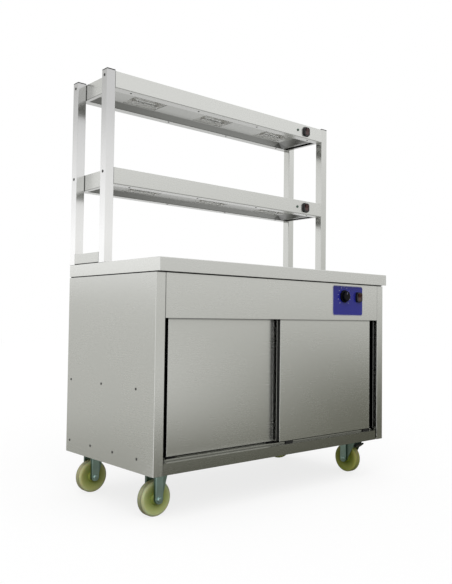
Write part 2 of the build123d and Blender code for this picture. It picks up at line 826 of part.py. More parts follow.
def rocker(face_y, x, z):
    """A rocker with two sloped finger faces, tilted to off, and its trunnions."""
    pivot_y = face_y - bezel_depth + rocker_pivot_depth
    tilt = radians(rocker_tilt)
    upper = radians(rocker_face_angle)
    reach = rocker_radius + overrun

    def turned(out, up):
        return (
            pivot_y - out * cos(tilt) - up * sin(tilt),
            z + up * cos(tilt) - out * sin(tilt),
        )

    with BuildSketch(side_plane(x - rocker_width / 2)) as profile:
        with Locations((pivot_y, z)):
            Circle(rocker_radius)
        with BuildLine():
            Polyline(
                turned(rocker_valley, 0),
                turned(rocker_radius * sin(upper), rocker_radius * cos(upper)),
                turned(rocker_radius * sin(upper), reach),
                turned(-rocker_back, reach),
                turned(-rocker_back, -reach),
                turned(rocker_radius * sin(upper), -reach),
                turned(rocker_radius * sin(upper), -rocker_radius * cos(upper)),
                close=True,
            )
        make_face(mode=Mode.INTERSECT)
    extrude(profile.sketch, amount=rocker_width)
    with BuildSketch(side_plane(x - switch_body_width / 2 + running_slip)) as profile:
        with Locations((pivot_y, z)):
            Circle(trunnion_radius)
    extrude(profile.sketch, amount=switch_body_width - 2 * running_slip)


shelf_switches = (
    ("upper", upper_shelf_bottom + shelf_height / 2),
    ("lower", lower_shelf_bottom + shelf_height / 2),
)
with BuildPart() as switch_bodies:
    switch_body(plate_front_y, main_switch_x, main_switch_z)
    for tier, switch_z in shelf_switches:
        switch_body(gantry_front_y, shelf_switch_x, switch_z)
keep("switch_bodies", switch_bodies)

with BuildPart() as main_rocker:
    rocker(plate_front_y, main_switch_x, main_switch_z)
keep("main_rocker", main_rocker)

for tier, switch_z in shelf_switches:
    with BuildPart() as shelf_rocker:
        rocker(gantry_front_y, shelf_switch_x, switch_z)
    keep(tier + "_rocker", shelf_rocker)

# Indicator lamps: a domed lens with its body through the shelf front
with BuildPart() as indicator_lamps:
    for tier, lamp_z in shelf_switches:
        with BuildSketch(front_plane(gantry_front_y)):
            with Locations((indicator_x, lamp_z)):
                Circle(indicator_radius)
        extrude(amount=indicator_rise, taper=bezel_taper)
        with BuildSketch(front_plane(gantry_front_y)):
            with Locations((indicator_x, lamp_z)):
                Circle(indicator_body_radius)
        extrude(amount=-indicator_body_length)
keep("indicator_lamps", indicator_lamps)

# Cable gland in the back panel, with no cable in it
gland_face_y = back_y + sheet
with BuildPart() as cable_gland:
    with BuildSketch(front_plane(gland_face_y)):
        with Locations((gland_x, gland_z)):
            RegularPolygon(gland_radius, 6)
    extrude(amount=-gland_flange)
    with BuildSketch(front_plane(gland_face_y + gland_flange)):
        with Locations((gland_x, gland_z)):
            Circle(gland_nose_radius)
    extrude(amount=-gland_nose, taper=bezel_taper)
    with BuildSketch(front_plane(gland_face_y)):
        with Locations((gland_x, gland_z)):
            Circle(gland_thread_radius)
    extrude(amount=gland_inside)
    with BuildSketch(front_plane(back_y)):
        with Locations((gland_x, gland_z)):
            RegularPolygon(gland_radius, 6)
    extrude(amount=gland_flange)
    with BuildSketch(front_plane(gland_face_y + gland_flange + gland_nose + overrun)):
        with Locations((gland_x, gland_z)):
            Circle(gland_bore)
    extrude(amount=gland_flange + gland_nose + gland_inside + 2 * overrun, mode=Mode.SUBTRACT)
keep("cable_gland", cable_gland)

# Terminal block behind the fascia
terminal_pitch = terminal_block_width / terminal_ways
with BuildPart() as terminal_block:
    with BuildSketch(front_plane(fascia_back_y)):
        with Locations((terminal_x, terminal_z)):
            Rectangle(terminal_block_width, terminal_block_height)
    extrude(amount=-terminal_block_depth)
    with BuildSketch(front_plane(fascia_back_y + terminal_block_depth)):
        with Locations((terminal_x, terminal_z)):
            with GridLocations(terminal_pitch, terminal_block_height / 2, terminal_ways, 2):
                Circle(terminal_hole_radius)
    extrude(amount=terminal_hole_depth, mode=Mode.SUBTRACT)
keep("terminal_block", terminal_block)

# Gantry posts: four square tubes standing on the worktop
post_length = gantry_rise - cap_height
tray_bolt_places = [
    (y, bottom + tray_bolt_rise)
    for bottom in (upper_shelf_bottom, lower_shelf_bottom)
    for y in (gantry_front_y + tray_bolt_inset, rear_y - tray_bolt_inset)
]
post_kinds = (
    ("front_left_post", -post_x, post_front_y),
    ("rear_left_post", -post_x, post_rear_y),
    ("front_right_post", post_x, post_front_y),
    ("rear_right_post", post_x, post_rear_y),
)
for post_name, x, y in post_kinds:
    with BuildPart() as post:
        with BuildSketch(Plane.XY.offset(worktop_height)) as post_section:
            with Locations((x, y)):
                Rectangle(tube, tube)
            fillet(post_section.vertices(), tube_round)
            with Locations((x, y)):
                Rectangle(tube - 2 * tube_wall, tube - 2 * tube_wall, mode=Mode.SUBTRACT)
        extrude(amount=post_length)
        with BuildSketch(side_plane(x - tube)):
            with Locations(*[place for place in tray_bolt_places if abs(place[0] - y) < tube / 2]):
                Circle(bolt_radius + hole_slip)
        extrude(amount=2 * tube, mode=Mode.SUBTRACT)
    keep(post_name, post)

# Crossbars between the front and rear posts, just above the worktop
with BuildPart() as gantry_crossbars:
    for x in (-post_x, post_x):
        with BuildSketch(front_plane(post_rear_y - tube / 2)) as bar_section:
            with Locations((x, worktop_height + crossbar_rise + tube / 2)):
                Rectangle(tube, tube)
                Rectangle(tube - 2 * tube_wall, tube - 2 * tube_wall, mode=Mode.SUBTRACT)
        extrude(amount=post_rear_y - post_front_y - tube)
keep("gantry_crossbars", gantry_crossbars)

# Post caps: a thin square plate with a plug inside the tube
plug_size = tube - 2 * tube_wall - 2 * fit_slip
with BuildPart() as post_caps:
    for post_name, x, y in post_kinds:
        with BuildSketch(Plane.XY.offset(worktop_height + post_length)) as cap_section:
            with Locations((x, y)):
                Rectangle(tube, tube)
            fillet(cap_section.vertices(), tube_round)
        extrude(amount=cap_height)
        with BuildSketch(Plane.XY.offset(worktop_height + post_length)):
            with Locations((x, y)):
                Rectangle(plug_size, plug_size)
        extrude(amount=-cap_plug)
keep("post_caps", post_caps)

# Shelf trays and lamp panels, one pair for each tier
panel_front = gantry_front_y + panel_front_inset
panel_rear = rear_y - panel_front_inset
mouth_front = gantry_front_y + tray_lip
mouth_rear = rear_y - tray_lip
lamp_y = (mouth_front + mouth_rear) / 2
screw_rows = (gantry_front_y + panel_screw_front, rear_y - panel_screw_rear)
panel_screws = [(x, y) for x in panel_screw_places for y in screw_rows]
for tier, bottom in (("upper", upper_shelf_bottom), ("lower", lower_shelf_bottom)):
    with BuildPart() as shelf_tray:
        with BuildSketch(Plane.XY.offset(bottom)):
            area(-tray_half, tray_half, gantry_front_y, rear_y)
        extrude(amount=shelf_height)
        fillet(shelf_tray.edges().filter_by(Axis.X), tray_round)
        with BuildSketch(Plane.XY.offset(bottom + sheet)):
            area(-tray_half + sheet, tray_half - sheet, gantry_front_y + sheet, rear_y - sheet)
        extrude(amount=shelf_height - 2 * sheet, mode=Mode.SUBTRACT)
        with BuildSketch(Plane.XY.offset(bottom - overrun)):
            area(-tray_half + tray_end_lip, tray_half - tray_end_lip, mouth_front, mouth_rear)
            with Locations(*panel_screws):
                Circle(panel_screw_radius + hole_slip)
        extrude(amount=2 * overrun, mode=Mode.SUBTRACT)
        with BuildSketch(front_plane(gantry_front_y + overrun)):
            with Locations((shelf_switch_x, bottom + shelf_height / 2)):
                Rectangle(switch_body_width + 2 * hole_slip, switch_body_height + 2 * hole_slip)
            with Locations((indicator_x, bottom + shelf_height / 2)):
                Circle(indicator_body_radius + hole_slip)
        extrude(amount=2 * overrun, mode=Mode.SUBTRACT)
        with BuildSketch(side_plane(-tray_half - overrun)):
            with Locations(*[place for place in tray_bolt_places if bottom < place[1] < bottom + shelf_height]):
                Circle(bolt_radius + hole_slip)
        extrude(amount=2 * (tray_half + overrun), mode=Mode.SUBTRACT)
    keep(tier + "_shelf_tray", shelf_tray)

    flange_z = bottom + sheet
    panel_left = -tray_half + sheet
    with BuildPart() as lamp_panel:
        with BuildSketch(side_plane(panel_left)):
            with BuildLine():
                Polyline(
                    (mouth_front, flange_z),
                    (mouth_front + panel_slope, flange_z + panel_rise),
                    (mouth_rear - panel_slope, flange_z + panel_rise),
                    (mouth_rear, flange_z),
                    close=True,
                )
            make_face()
        extrude(amount=panel_right_mouth - panel_left)
        with BuildSketch(front_plane(mouth_rear)):
            with BuildLine():
                Polyline(
                    (panel_left, flange_z),
                    (panel_left, flange_z + panel_rise),
                    (panel_right_flat, flange_z + panel_rise),
                    (panel_right_mouth, flange_z),
                    close=True,
                )
            make_face()
        extrude(amount=mouth_rear - mouth_front, mode=Mode.INTERSECT)
        add(lamp_panel.part.moved(Location((0, 0, -panel_sheet))), mode=Mode.SUBTRACT)
        with BuildSketch(Plane.XY.offset(flange_z)):
            area(panel_left, panel_right_mouth + panel_right_flange, panel_front, panel_rear)
            area(
                panel_left,
                panel_right_mouth - panel_overlap,
                mouth_front + panel_overlap,
                mouth_rear - panel_overlap,
                Mode.SUBTRACT,
            )
        extrude(amount=panel_sheet)
        with BuildSketch(Plane.XY.offset(flange_z - overrun)):
            with Locations(*[(x, lamp_y) for x in lamp_places]):
                Rectangle(lamp_opening_length, lamp_opening_width)
            with Locations(*panel_screws):
                Circle(panel_screw_radius + hole_slip)
        extrude(amount=panel_rise + 2 * overrun, mode=Mode.SUBTRACT)
    keep(tier + "_lamp_panel", lamp_panel)

# Reflectors: a tapered pan over each lamp opening, three to a tier
rim_rise = sheet + panel_rise
for tier, bottom in (("upper", upper_shelf_bottom), ("lower", lower_shelf_bottom)):
    rim_z = bottom + rim_rise
    with BuildPart() as tier_reflectors:
        for x in lamp_places:
            for grow, mode in ((0, Mode.ADD), (-panel_sheet, Mode.SUBTRACT)):
                with BuildSketch(Plane.XY.offset(rim_z)):
                    with Locations((x, lamp_y)):
                        Rectangle(lamp_opening_length + 2 * grow, lamp_opening_width + 2 * grow)
                with BuildSketch(Plane.XY.offset(rim_z + reflector_depth + grow)):
                    with Locations((x, lamp_y)):
                        Rectangle(reflector_top_length + 2 * grow, reflector_top_width + 2 * grow)
                loft(mode=mode)
            with BuildSketch(Plane.XY.offset(rim_z)):
                with Locations((x, lamp_y)):
                    Rectangle(lamp_opening_length + 2 * reflector_rim, lamp_opening_width + 2 * reflector_rim)
                    Rectangle(
                        lamp_opening_length - 2 * panel_sheet,
                        lamp_opening_width - 2 * panel_sheet,
                        mode=Mode.SUBTRACT,
                    )
            extrude(amount=panel_sheet)
    keep(tier + "_reflectors", tier_reflectors)

# Lamp holders: a ceramic block at each end of each lamp, fixed to the reflector's top
lamp_ends = (-1, 1)
tiers = (upper_shelf_bottom, lower_shelf_bottom)
with BuildPart() as lamp_holders:
    for bottom in tiers:
        lamp_z = bottom + lamp_rise
        holder_top = bottom + rim_rise + reflector_depth - panel_sheet
        for x in lamp_places:
            for end in lamp_ends:
                with BuildSketch(Plane.XY.offset(lamp_z - holder_below)) as holder_outline:
                    with Locations((x + end * (holder_inner + holder_length / 2), lamp_y)):
                        Rectangle(holder_length, holder_width)
                    fillet(holder_outline.vertices(), bend_round)
                extrude(amount=holder_top - lamp_z + holder_below)
                with BuildSketch(side_plane(x + end * holder_inner)):
                    with Locations((lamp_y, lamp_z)):
                        Circle(socket_radius)
                extrude(amount=end * (lamp_half_overall - holder_inner + fit_slip), mode=Mode.SUBTRACT)
keep("lamp_holders", lamp_holders)

# Lamp tubes: quartz heat lamps with a narrower cap in each holder
with BuildPart() as lamp_tubes:
    for bottom in tiers:
        for x in lamp_places:
            for radius, half in ((lamp_radius, lamp_half_length), (lamp_pinch_radius, lamp_half_overall)):
                with BuildSketch(side_plane(x - half)):
                    with Locations((lamp_y, bottom + lamp_rise)):
                        Circle(radius)
                extrude(amount=2 * half)
keep("lamp_tubes", lamp_tubes)

# Panel screws: the side panels' screws and the lamp panels' screws
with BuildPart() as panel_screws_set:
    for side in (-1, 1):
        for radius, start, length in (
            (screw_head_radius, panel_x, screw_head_height),
            (screw_radius, panel_x + screw_head_height / 2, -screw_length),
        ):
            with BuildSketch(side_plane(side * start)):
                with Locations(*side_screw_places):
                    Circle(radius)
            extrude(amount=side * length)
    for bottom in tiers:
        for radius, start, length in (
            (panel_screw_head_radius, bottom, -panel_screw_head_height),
            (panel_screw_radius, bottom - panel_screw_head_height / 2, panel_screw_length),
        ):
            with BuildSketch(Plane.XY.offset(start)):
                with Locations(*panel_screws):
                    Circle(radius)
            extrude(amount=length)
keep("panel_screws", panel_screws_set)

# Gantry bolts with their nuts, through the posts into the trays
nut_x = tray_half - sheet - nut_height
with BuildPart() as gantry_bolts:
    for side in (-1, 1):
        for radius, start, end_x in (
            (bolt_head_radius, width / 2, width / 2 + bolt_head_height),
            (bolt_radius, width / 2 + bolt_head_height / 2, nut_x - overrun),
        ):
            with BuildSketch(side_plane(side * start)):
                with Locations(*tray_bolt_places):
                    Circle(radius)
            extrude(amount=side * (end_x - start))
        with BuildSketch(side_plane(side * nut_x)):
            with Locations(*tray_bolt_places):
                RegularPolygon(nut_radius, 6)
        extrude(amount=side * nut_height)
keep("gantry_bolts", gantry_bolts)

# Castor bolts with their nuts, through the castor plates into the base channels
with BuildPart() as castor_bolts:
    for radius, start, end_z in (
        (castor_bolt_head_radius, plate_bottom_z, plate_bottom_z - castor_bolt_head_height),
        (castor_bolt_radius, plate_bottom_z - castor_bolt_head_height / 2, cabinet_bottom + 3 * castor_bolt_radius),
    ):
        with BuildSketch(Plane.XY.offset(start)):
            with Locations(*castor_bolt_places):
                Circle(radius)
        extrude(amount=end_z - start)
    with BuildSketch(Plane.XY.offset(cabinet_bottom + channel_sheet)):
        with Locations(*castor_bolt_places):
            RegularPolygon(castor_bolt_head_radius, 6)
    extrude(amount=castor_bolt_head_height)
keep("castor_bolts", castor_bolts)


def castor_frame(x, y, heading):
    """A castor's own plane on the floor: x along its trail, z up, at its vertical axis."""
    turn = radians(heading)
    return Plane(origin=(x, y, 0), x_dir=(cos(turn), sin(turn), 0), z_dir=(0, 0, 1))


def leg_plane(frame, along_axle):
    """An upright plane across the axle: its own x runs along the trail, its own y is up."""
    origin = frame.origin + frame.y_dir * along_axle
    return Plane(origin=origin, x_dir=frame.x_dir, z_dir=-frame.y_dir)


def castor_plate(x, y):
    """The bolted top plate of a castor."""
    with BuildSketch(Plane.XY.offset(plate_bottom_z)) as plate_sketch:
        with Locations((x, y)):
            Rectangle(castor_plate_x, castor_plate_y)
        fillet(plate_sketch.vertices(), plate_corner)
        with Locations((x, y)):
            with GridLocations(2 * castor_bolt_x, 2 * castor_bolt_y, 2, 2):
                Circle(castor_bolt_radius + hole_slip, mode=Mode.SUBTRACT)
    extrude(plate_sketch.sketch, amount=castor_plate_sheet)


def fork_legs(frame, top_z, top_start, top_end, trail):
    """Two tapered legs from top_z down to the axle, with its bore."""
    for along in (fork_inside / 2 + fork_sheet, -fork_inside / 2):
        with BuildSketch(leg_plane(frame, along)) as leg:
            with Locations((trail, wheel_radius)):
                Circle(fork_leg_end)
            area(top_start, top_end, top_z - fork_sheet, top_z)
            make_hull()
            with Locations((trail, wheel_radius)):
                Circle(axle_radius + running_slip, mode=Mode.SUBTRACT)
        extrude(leg.sketch, amount=fork_sheet)


def moulded_wheel(frame, trail):
    """A moulded wheel: a crowned tread, a thinner web and a wide hub, bored for the axle."""
    with BuildPart() as wheel:
        with BuildSketch(leg_plane(frame, wheel_width / 2)):
            with Locations((trail, wheel_radius)):
                Circle(wheel_radius)
        extrude(amount=wheel_width)
        fillet(wheel.edges().filter_by(GeomType.CIRCLE), wheel_edge_round)
        for side in (-1, 1):
            with BuildSketch(leg_plane(frame, side * wheel_width / 2)):
                with Locations((trail, wheel_radius)):
                    Circle(wheel_rim_radius)
            extrude(amount=side * (wheel_width - wheel_web_width) / 2, mode=Mode.SUBTRACT)
        with BuildSketch(leg_plane(frame, wheel_hub_width / 2)):
            with Locations((trail, wheel_radius)):
                Circle(wheel_hub_radius)
        extrude(amount=wheel_hub_width)
        with BuildSketch(leg_plane(frame, wheel_hub_width)):
            with Locations((trail, wheel_radius)):
                Circle(axle_radius + running_slip)
        extrude(amount=2 * wheel_hub_width, mode=Mode.SUBTRACT)
    return wheel


def axle(frame, trail):
    """An axle bolt through both fork legs, with its head and nut outside them."""
    outside = fork_inside / 2 + fork_sheet
    with BuildSketch(leg_plane(frame, outside + axle_head_height)) as profile:
        with Locations((trail, wheel_radius)):
            Circle(axle_radius)
    extrude(profile.sketch, amount=2 * (outside + axle_head_height))
    for along in (outside + axle_head_height, -outside):
        with BuildSketch(leg_plane(frame, along)) as profile:
            with Locations((trail, wheel_radius)):
                RegularPolygon(axle_head_radius, 6)
        extrude(profile.sketch, amount=axle_head_height)


# Fixed castors at the left end: forks pressed from plate, axles across the cabinet's depth
fixed_frames = [castor_frame(-castor_x, y, 0) for y in castor_places]
with BuildPart() as fixed_forks:
    for frame, y in zip(fixed_frames, castor_places):
        castor_plate(-castor_x, y)
        fork_legs(frame, plate_bottom_z, -fork_leg_end, castor_plate_x / 2, 0)
keep("fixed_forks", fixed_forks)

with BuildPart() as fixed_axles:
    for frame in fixed_frames:
        axle(frame, 0)
keep("fixed_axles", fixed_axles)

for frame, wheel_name in zip(fixed_frames, ("front_left_wheel", "rear_left_wheel")):
    keep(wheel_name, moulded_wheel(frame, 0))

# Swivel castors at the right end: plate, race and king pin stay with the cabinet
crown_top = plate_bottom_z - race_height - race_gap
crown_bottom = crown_top - crown_height
king_pin_end = crown_bottom - race_gap - king_nut_height
with BuildPart() as castor_top_plates:
    for y in castor_places:
        castor_plate(castor_x, y)
        for radius, start, end_z in (
            (race_radius, plate_bottom_z, plate_bottom_z - race_height),
            (king_pin_radius, plate_bottom_z, king_pin_end),
            (king_nut_radius, crown_bottom - race_gap, king_pin_end),
        ):
            with BuildSketch(Plane.XY.offset(start)):
                with Locations((castor_x, y)):
                    Circle(radius)
            extrude(amount=end_z - start)
keep("castor_top_plates", castor_top_plates)

swivel_kinds = (
    ("front_right", castor_frame(castor_x, castor_places[0], front_right_heading)),
    ("rear_right", castor_frame(castor_x, castor_places[1], rear_right_heading)),
)
crown_width = fork_inside + 2 * fork_sheet
for castor, frame in swivel_kinds:
    across = fork_inside / 2 + fork_sheet
    with BuildPart() as swivel_fork:
        with BuildSketch(Plane(origin=frame.origin + Vector(0, 0, crown_bottom), x_dir=frame.x_dir)):
            Circle(race_radius)
            Rectangle(swivel_leg_top, crown_width)
        extrude(amount=fork_sheet)
        with BuildSketch(Plane(origin=frame.origin + Vector(0, 0, crown_bottom), x_dir=frame.x_dir)):
            Circle(race_radius - fork_sheet)
        extrude(amount=crown_height)
        fork_legs(frame, crown_bottom + fork_sheet, -swivel_leg_top / 2, swivel_leg_top / 2, castor_trail)
        with BuildSketch(leg_plane(frame, across)):
            with Locations((pedal_pivot_x, pedal_pivot_z)):
                Circle(pedal_pin_radius)
        extrude(amount=2 * across)
        with BuildSketch(Plane(origin=frame.origin + Vector(0, 0, crown_bottom - overrun), x_dir=frame.x_dir)):
            Circle(king_pin_radius + running_slip)
        extrude(amount=crown_height + 2 * overrun, mode=Mode.SUBTRACT)
    keep(castor + "_fork", swivel_fork)

    with BuildPart() as swivel_axle:
        axle(frame, castor_trail)
    keep(castor + "_axle", swivel_axle)

    keep(castor + "_wheel", moulded_wheel(frame, castor_trail))

    with BuildPart() as brake_pedal:
        with BuildSketch(leg_plane(frame, pedal_width / 2)):
            with Locations((pedal_pivot_x, pedal_pivot_z)):
                Circle(pedal_pivot_round)
            with Locations((pedal_tip_x, pedal_tip_z)):
                Circle(pedal_tip_round)
            make_hull()
            with Locations((pedal_pivot_x, pedal_pivot_z)):
                Circle(pedal_pin_radius + running_slip, mode=Mode.SUBTRACT)
        extrude(amount=pedal_width)
    keep(castor + "_brake_pedal", brake_pedal)
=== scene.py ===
import json
import math

import bmesh
import bpy
import numpy as np
from mathutils import Matrix, Vector


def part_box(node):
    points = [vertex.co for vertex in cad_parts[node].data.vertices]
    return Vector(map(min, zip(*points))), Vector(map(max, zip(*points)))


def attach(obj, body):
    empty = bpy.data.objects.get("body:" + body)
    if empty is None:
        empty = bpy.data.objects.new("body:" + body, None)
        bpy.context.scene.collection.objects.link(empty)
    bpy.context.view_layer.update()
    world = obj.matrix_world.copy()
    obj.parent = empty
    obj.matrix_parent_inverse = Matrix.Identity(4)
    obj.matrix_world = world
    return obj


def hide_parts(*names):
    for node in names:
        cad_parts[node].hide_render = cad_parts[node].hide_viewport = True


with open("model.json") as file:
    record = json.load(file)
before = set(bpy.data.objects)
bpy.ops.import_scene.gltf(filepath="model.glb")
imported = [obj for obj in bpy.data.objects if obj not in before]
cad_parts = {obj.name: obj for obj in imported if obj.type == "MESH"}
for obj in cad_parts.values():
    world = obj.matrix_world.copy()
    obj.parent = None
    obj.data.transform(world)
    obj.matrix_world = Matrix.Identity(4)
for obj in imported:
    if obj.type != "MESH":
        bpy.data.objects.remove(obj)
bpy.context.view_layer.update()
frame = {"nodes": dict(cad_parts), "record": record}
nodes = frame["nodes"]
mm = 0.001

# Camera: it stands at the left of the cupboard, low, and looks along its front.
# The place, the turn and the lens come from a fit to the corners in the photograph.
eye = Vector((-1969.2, -2185.6, 694.2)) * mm
heading, tilt, roll = math.radians(41.05), math.radians(2.211), math.radians(0.725)
focal_pixels, image_height, sensor_side = 686.1, 584, 36.0
forward = Vector((math.sin(heading) * math.cos(tilt), math.cos(heading) * math.cos(tilt), math.sin(tilt)))
level_right = Vector((math.cos(heading), -math.sin(heading), 0.0))
level_up = level_right.cross(forward)
camera_right = level_right * math.cos(roll) + level_up * math.sin(roll)
camera_up = level_up * math.cos(roll) - level_right * math.sin(roll)
camera_data = bpy.data.cameras.new("camera")
camera_data.sensor_width = sensor_side
camera_data.lens = focal_pixels / image_height * sensor_side
camera_data.clip_end = 60.0
camera = bpy.data.objects.new("camera", camera_data)
bpy.context.scene.collection.objects.link(camera)
camera_axes = Matrix((camera_right, camera_up, -forward)).transposed().to_4x4()
camera.matrix_world = Matrix.Translation(eye) @ camera_axes
bpy.context.scene.camera = camera
bpy.context.scene.view_settings.view_transform = "Standard"


# Studio: a pale floor and a white world, which the camera, the steel and the glass all see.
# The floor is matt paper, lit so that it is as white as the world but for the cupboard's shadow.
def new_material(name):
    """A material with an empty node tree and its output, and a function that adds and sets nodes in it."""
    material = bpy.data.materials.new(name)
    material.use_nodes = True
    tree = material.node_tree
    tree.nodes.clear()
    output = tree.nodes.new("ShaderNodeOutputMaterial")
    return material, tree, output


def add_node(tree, kind, **values):
    """A new node of this kind in a tree, with its properties and then its input sockets set by name."""
    node = tree.nodes.new(kind)
    for key, value in values.items():
        if hasattr(node, key):
            setattr(node, key, value)
        else:
            node.inputs[key.replace("_", " ").title()].default_value = value
    return node


def show_to_sight(tree):
    """A mask that is 1 for camera, glossy and transmission rays, and 0 for the rays that light the object."""
    path = add_node(tree, "ShaderNodeLightPath")
    first = add_node(tree, "ShaderNodeMath", operation="MAXIMUM")
    second = add_node(tree, "ShaderNodeMath", operation="MAXIMUM")
    tree.links.new(path.outputs["Is Camera Ray"], first.inputs[0])
    tree.links.new(path.outputs["Is Glossy Ray"], first.inputs[1])
    tree.links.new(first.outputs[0], second.inputs[0])
    tree.links.new(path.outputs["Is Transmission Ray"], second.inputs[1])
    return second.outputs[0]


paper_white = 0.22
world_light = 0.60
floor_half = 15.0

paper, tree, output = new_material("floor_paper")
paper_diffuse = add_node(tree, "ShaderNodeBsdfDiffuse", Color=(*[paper_white] * 3, 1))
paper_lift = add_node(tree, "ShaderNodeEmission", Color=(*[1 - paper_white] * 3, 1))
paper_sum = add_node(tree, "ShaderNodeAddShader")
tree.links.new(show_to_sight(tree), paper_lift.inputs["Strength"])
tree.links.new(paper_diffuse.outputs[0], paper_sum.inputs[0])
tree.links.new(paper_lift.outputs[0], paper_sum.inputs[1])
tree.links.new(paper_sum.outputs[0], output.inputs["Surface"])
floor_mesh = bpy.data.meshes.new("floor")
floor_mesh.from_pydata(
    [(x * floor_half, y * floor_half, 0) for x, y in ((-1, -1), (1, -1), (1, 1), (-1, 1))],
    [],
    [(0, 1, 2, 3)],
)
floor = bpy.data.objects.new("floor", floor_mesh)
floor_mesh.materials.append(paper)
bpy.context.scene.collection.objects.link(floor)

world = bpy.data.worlds.new("studio_white")
bpy.context.scene.world = world
world.use_nodes = True
tree = world.node_tree
sky = tree.nodes["Background"]
sky.inputs["Color"].default_value = (1, 1, 1, 1)
sky_strength = add_node(tree, "ShaderNodeMapRange")
sky_strength.inputs["To Min"].default_value = world_light
sky_strength.inputs["To Max"].default_value = 1.0
tree.links.new(show_to_sight(tree), sky_strength.inputs["Value"])
tree.links.new(sky_strength.outputs[0], sky.inputs["Strength"])


def soft_sun(name, from_direction, spread, strength):
    """A far lamp with a wide face, so its shadows are soft and the floor is lit alike everywhere.
    Steel doesn't mirror it, because the white world round it already does that."""
    data = bpy.data.lights.new(name, "SUN")
    data.angle = math.radians(spread)
    data.energy = strength
    lamp = bpy.data.objects.new(name, data)
    lamp.rotation_mode = "QUATERNION"
    lamp.rotation_quaternion = Vector(from_direction).to_track_quat("Z", "Y")
    lamp.visible_glossy = False
    bpy.context.scene.collection.objects.link(lamp)


soft_sun("overhead_light", (-0.15, -0.35, 1.0), 70, 0.95)
soft_sun("left_light", (-1.0, -0.9, 0.9), 60, 0.75)


# Glowing sheets that only the steel mirrors, a painted reflection: a dark one underfoot, a grey sweep at the
# front right and one at the back left. They paint bare steel's slow fall from bright to dark into its
# reflections.
def grid_faces(rows, columns, around):
    """Quads over a grid of points, row after row; the columns close on themselves if they go around."""
    steps = np.arange(columns if around else columns - 1)
    start = np.arange(rows - 1)[:, None] * columns
    this, following = start + steps, start + (steps + 1) % columns
    return np.stack([this, following, following + columns, this + columns], axis=-1).reshape(-1, 4)


def reflection_sheet(name, angles, radius, height, level):
    """A sheet on a grid of compass angle and distance along a path that runs out over the floor and climbs.
    A point stands at the path's radius along its angle, at the path's height, and glows at its level."""
    angle_grid, radius_grid = np.meshgrid(np.radians(angles), radius)
    height_grid = np.broadcast_to(height[:, None], angle_grid.shape)
    away_x, away_y = radius_grid * np.sin(angle_grid), radius_grid * np.cos(angle_grid)
    points = np.stack([away_x, away_y, height_grid], axis=-1)
    mesh = bpy.data.meshes.new(name)
    mesh.from_pydata(points.reshape(-1, 3).tolist(), [], grid_faces(*angle_grid.shape, False).tolist())
    levels = mesh.attributes.new("level", "FLOAT", "POINT")
    levels.data.foreach_set("value", level.ravel().astype(np.float32))
    material, tree, output = new_material(name + "_glow")
    reading = add_node(tree, "ShaderNodeAttribute", attribute_name="level")
    dye = add_node(tree, "ShaderNodeValToRGB")
    dye.color_ramp.elements[0].color = (0.0, 0.0, 0.0, 1)
    dye.color_ramp.elements[1].color = (1.0, 1.0, 1.0, 1)
    for grey, drab in ((0.15, 0.79), (0.45, 0.93), (0.7, 0.97)):
        dye.color_ramp.elements.new(grey).color = (grey, grey, grey * drab, 1)
    glow = add_node(tree, "ShaderNodeEmission")
    tree.links.new(reading.outputs["Fac"], dye.inputs["Fac"])
    tree.links.new(dye.outputs["Color"], glow.inputs["Color"])
    tree.links.new(glow.outputs[0], output.inputs["Surface"])
    mesh.materials.append(material)
    sheet = bpy.data.objects.new(name, mesh)
    for kind in ("camera", "diffuse", "transmission", "volume_scatter", "shadow"):
        setattr(sheet, "visible_" + kind, False)
    bpy.context.scene.collection.objects.link(sheet)


sheet_rise, sweep_start, sweep_floor = 0.004, 0.6, 2.0
underfoot_angles, underfoot_radius = np.linspace(0, 360, 73), np.linspace(0.01, 1.0, 9)
underfoot_levels = np.interp(underfoot_radius, (0.6, 1.0), (0.13, 0.2))
reflection_sheet(
    "reflection_sheet_underfoot", underfoot_angles, underfoot_radius, np.full(9, sheet_rise),
    underfoot_levels[:, None] + 0 * underfoot_angles,
)


def sweep_path(along):
    """The radius and the height at each distance along a sweep, which runs out over the floor and climbs."""
    return sweep_start + np.minimum(along, sweep_floor), 2 * sheet_rise + np.maximum(along - sweep_floor, 0)


right_angles, right_along = np.linspace(95, 195, 51), np.linspace(0, 4.0, 41)
right_marks = (0.4, 1.2, 2.0, 2.25, 2.6, 3.0, 3.6, 4.0)
right_dark = np.array((0.135, 0.14, 0.12, 0.24, 0.59, 0.755, 0.86, 0.95))
brighter_leftward = np.array((0.0, 0.24, 0.62, 0.66, 0.0, 0.0, 0.0, 0.0))
leftness = np.interp(right_angles, (122, 132, 140, 148, 160), (0.0, 0.08, 0.35, 0.6, 1.0))
right_levels = np.stack(
    [np.interp(right_along, right_marks, right_dark + brighter_leftward * share) for share in leftness],
    axis=1,
)
reflection_sheet("reflection_sheet_front_right", right_angles, *sweep_path(right_along), right_levels)

left_angles, left_along = np.linspace(285, 350, 33), np.linspace(0, 6.0, 61)
left_marks = (0.3, 1.2, 2.0, 2.85, 3.0, 3.9, 4.4)
left_levels = np.interp(left_along, left_marks, (0.40, 0.46, 0.60, 0.66, 1.0, 1.0, 0.78))
reflection_sheet("reflection_sheet_back_left", left_angles, *sweep_path(left_along), left_levels[:, None] + 0 * left_angles)


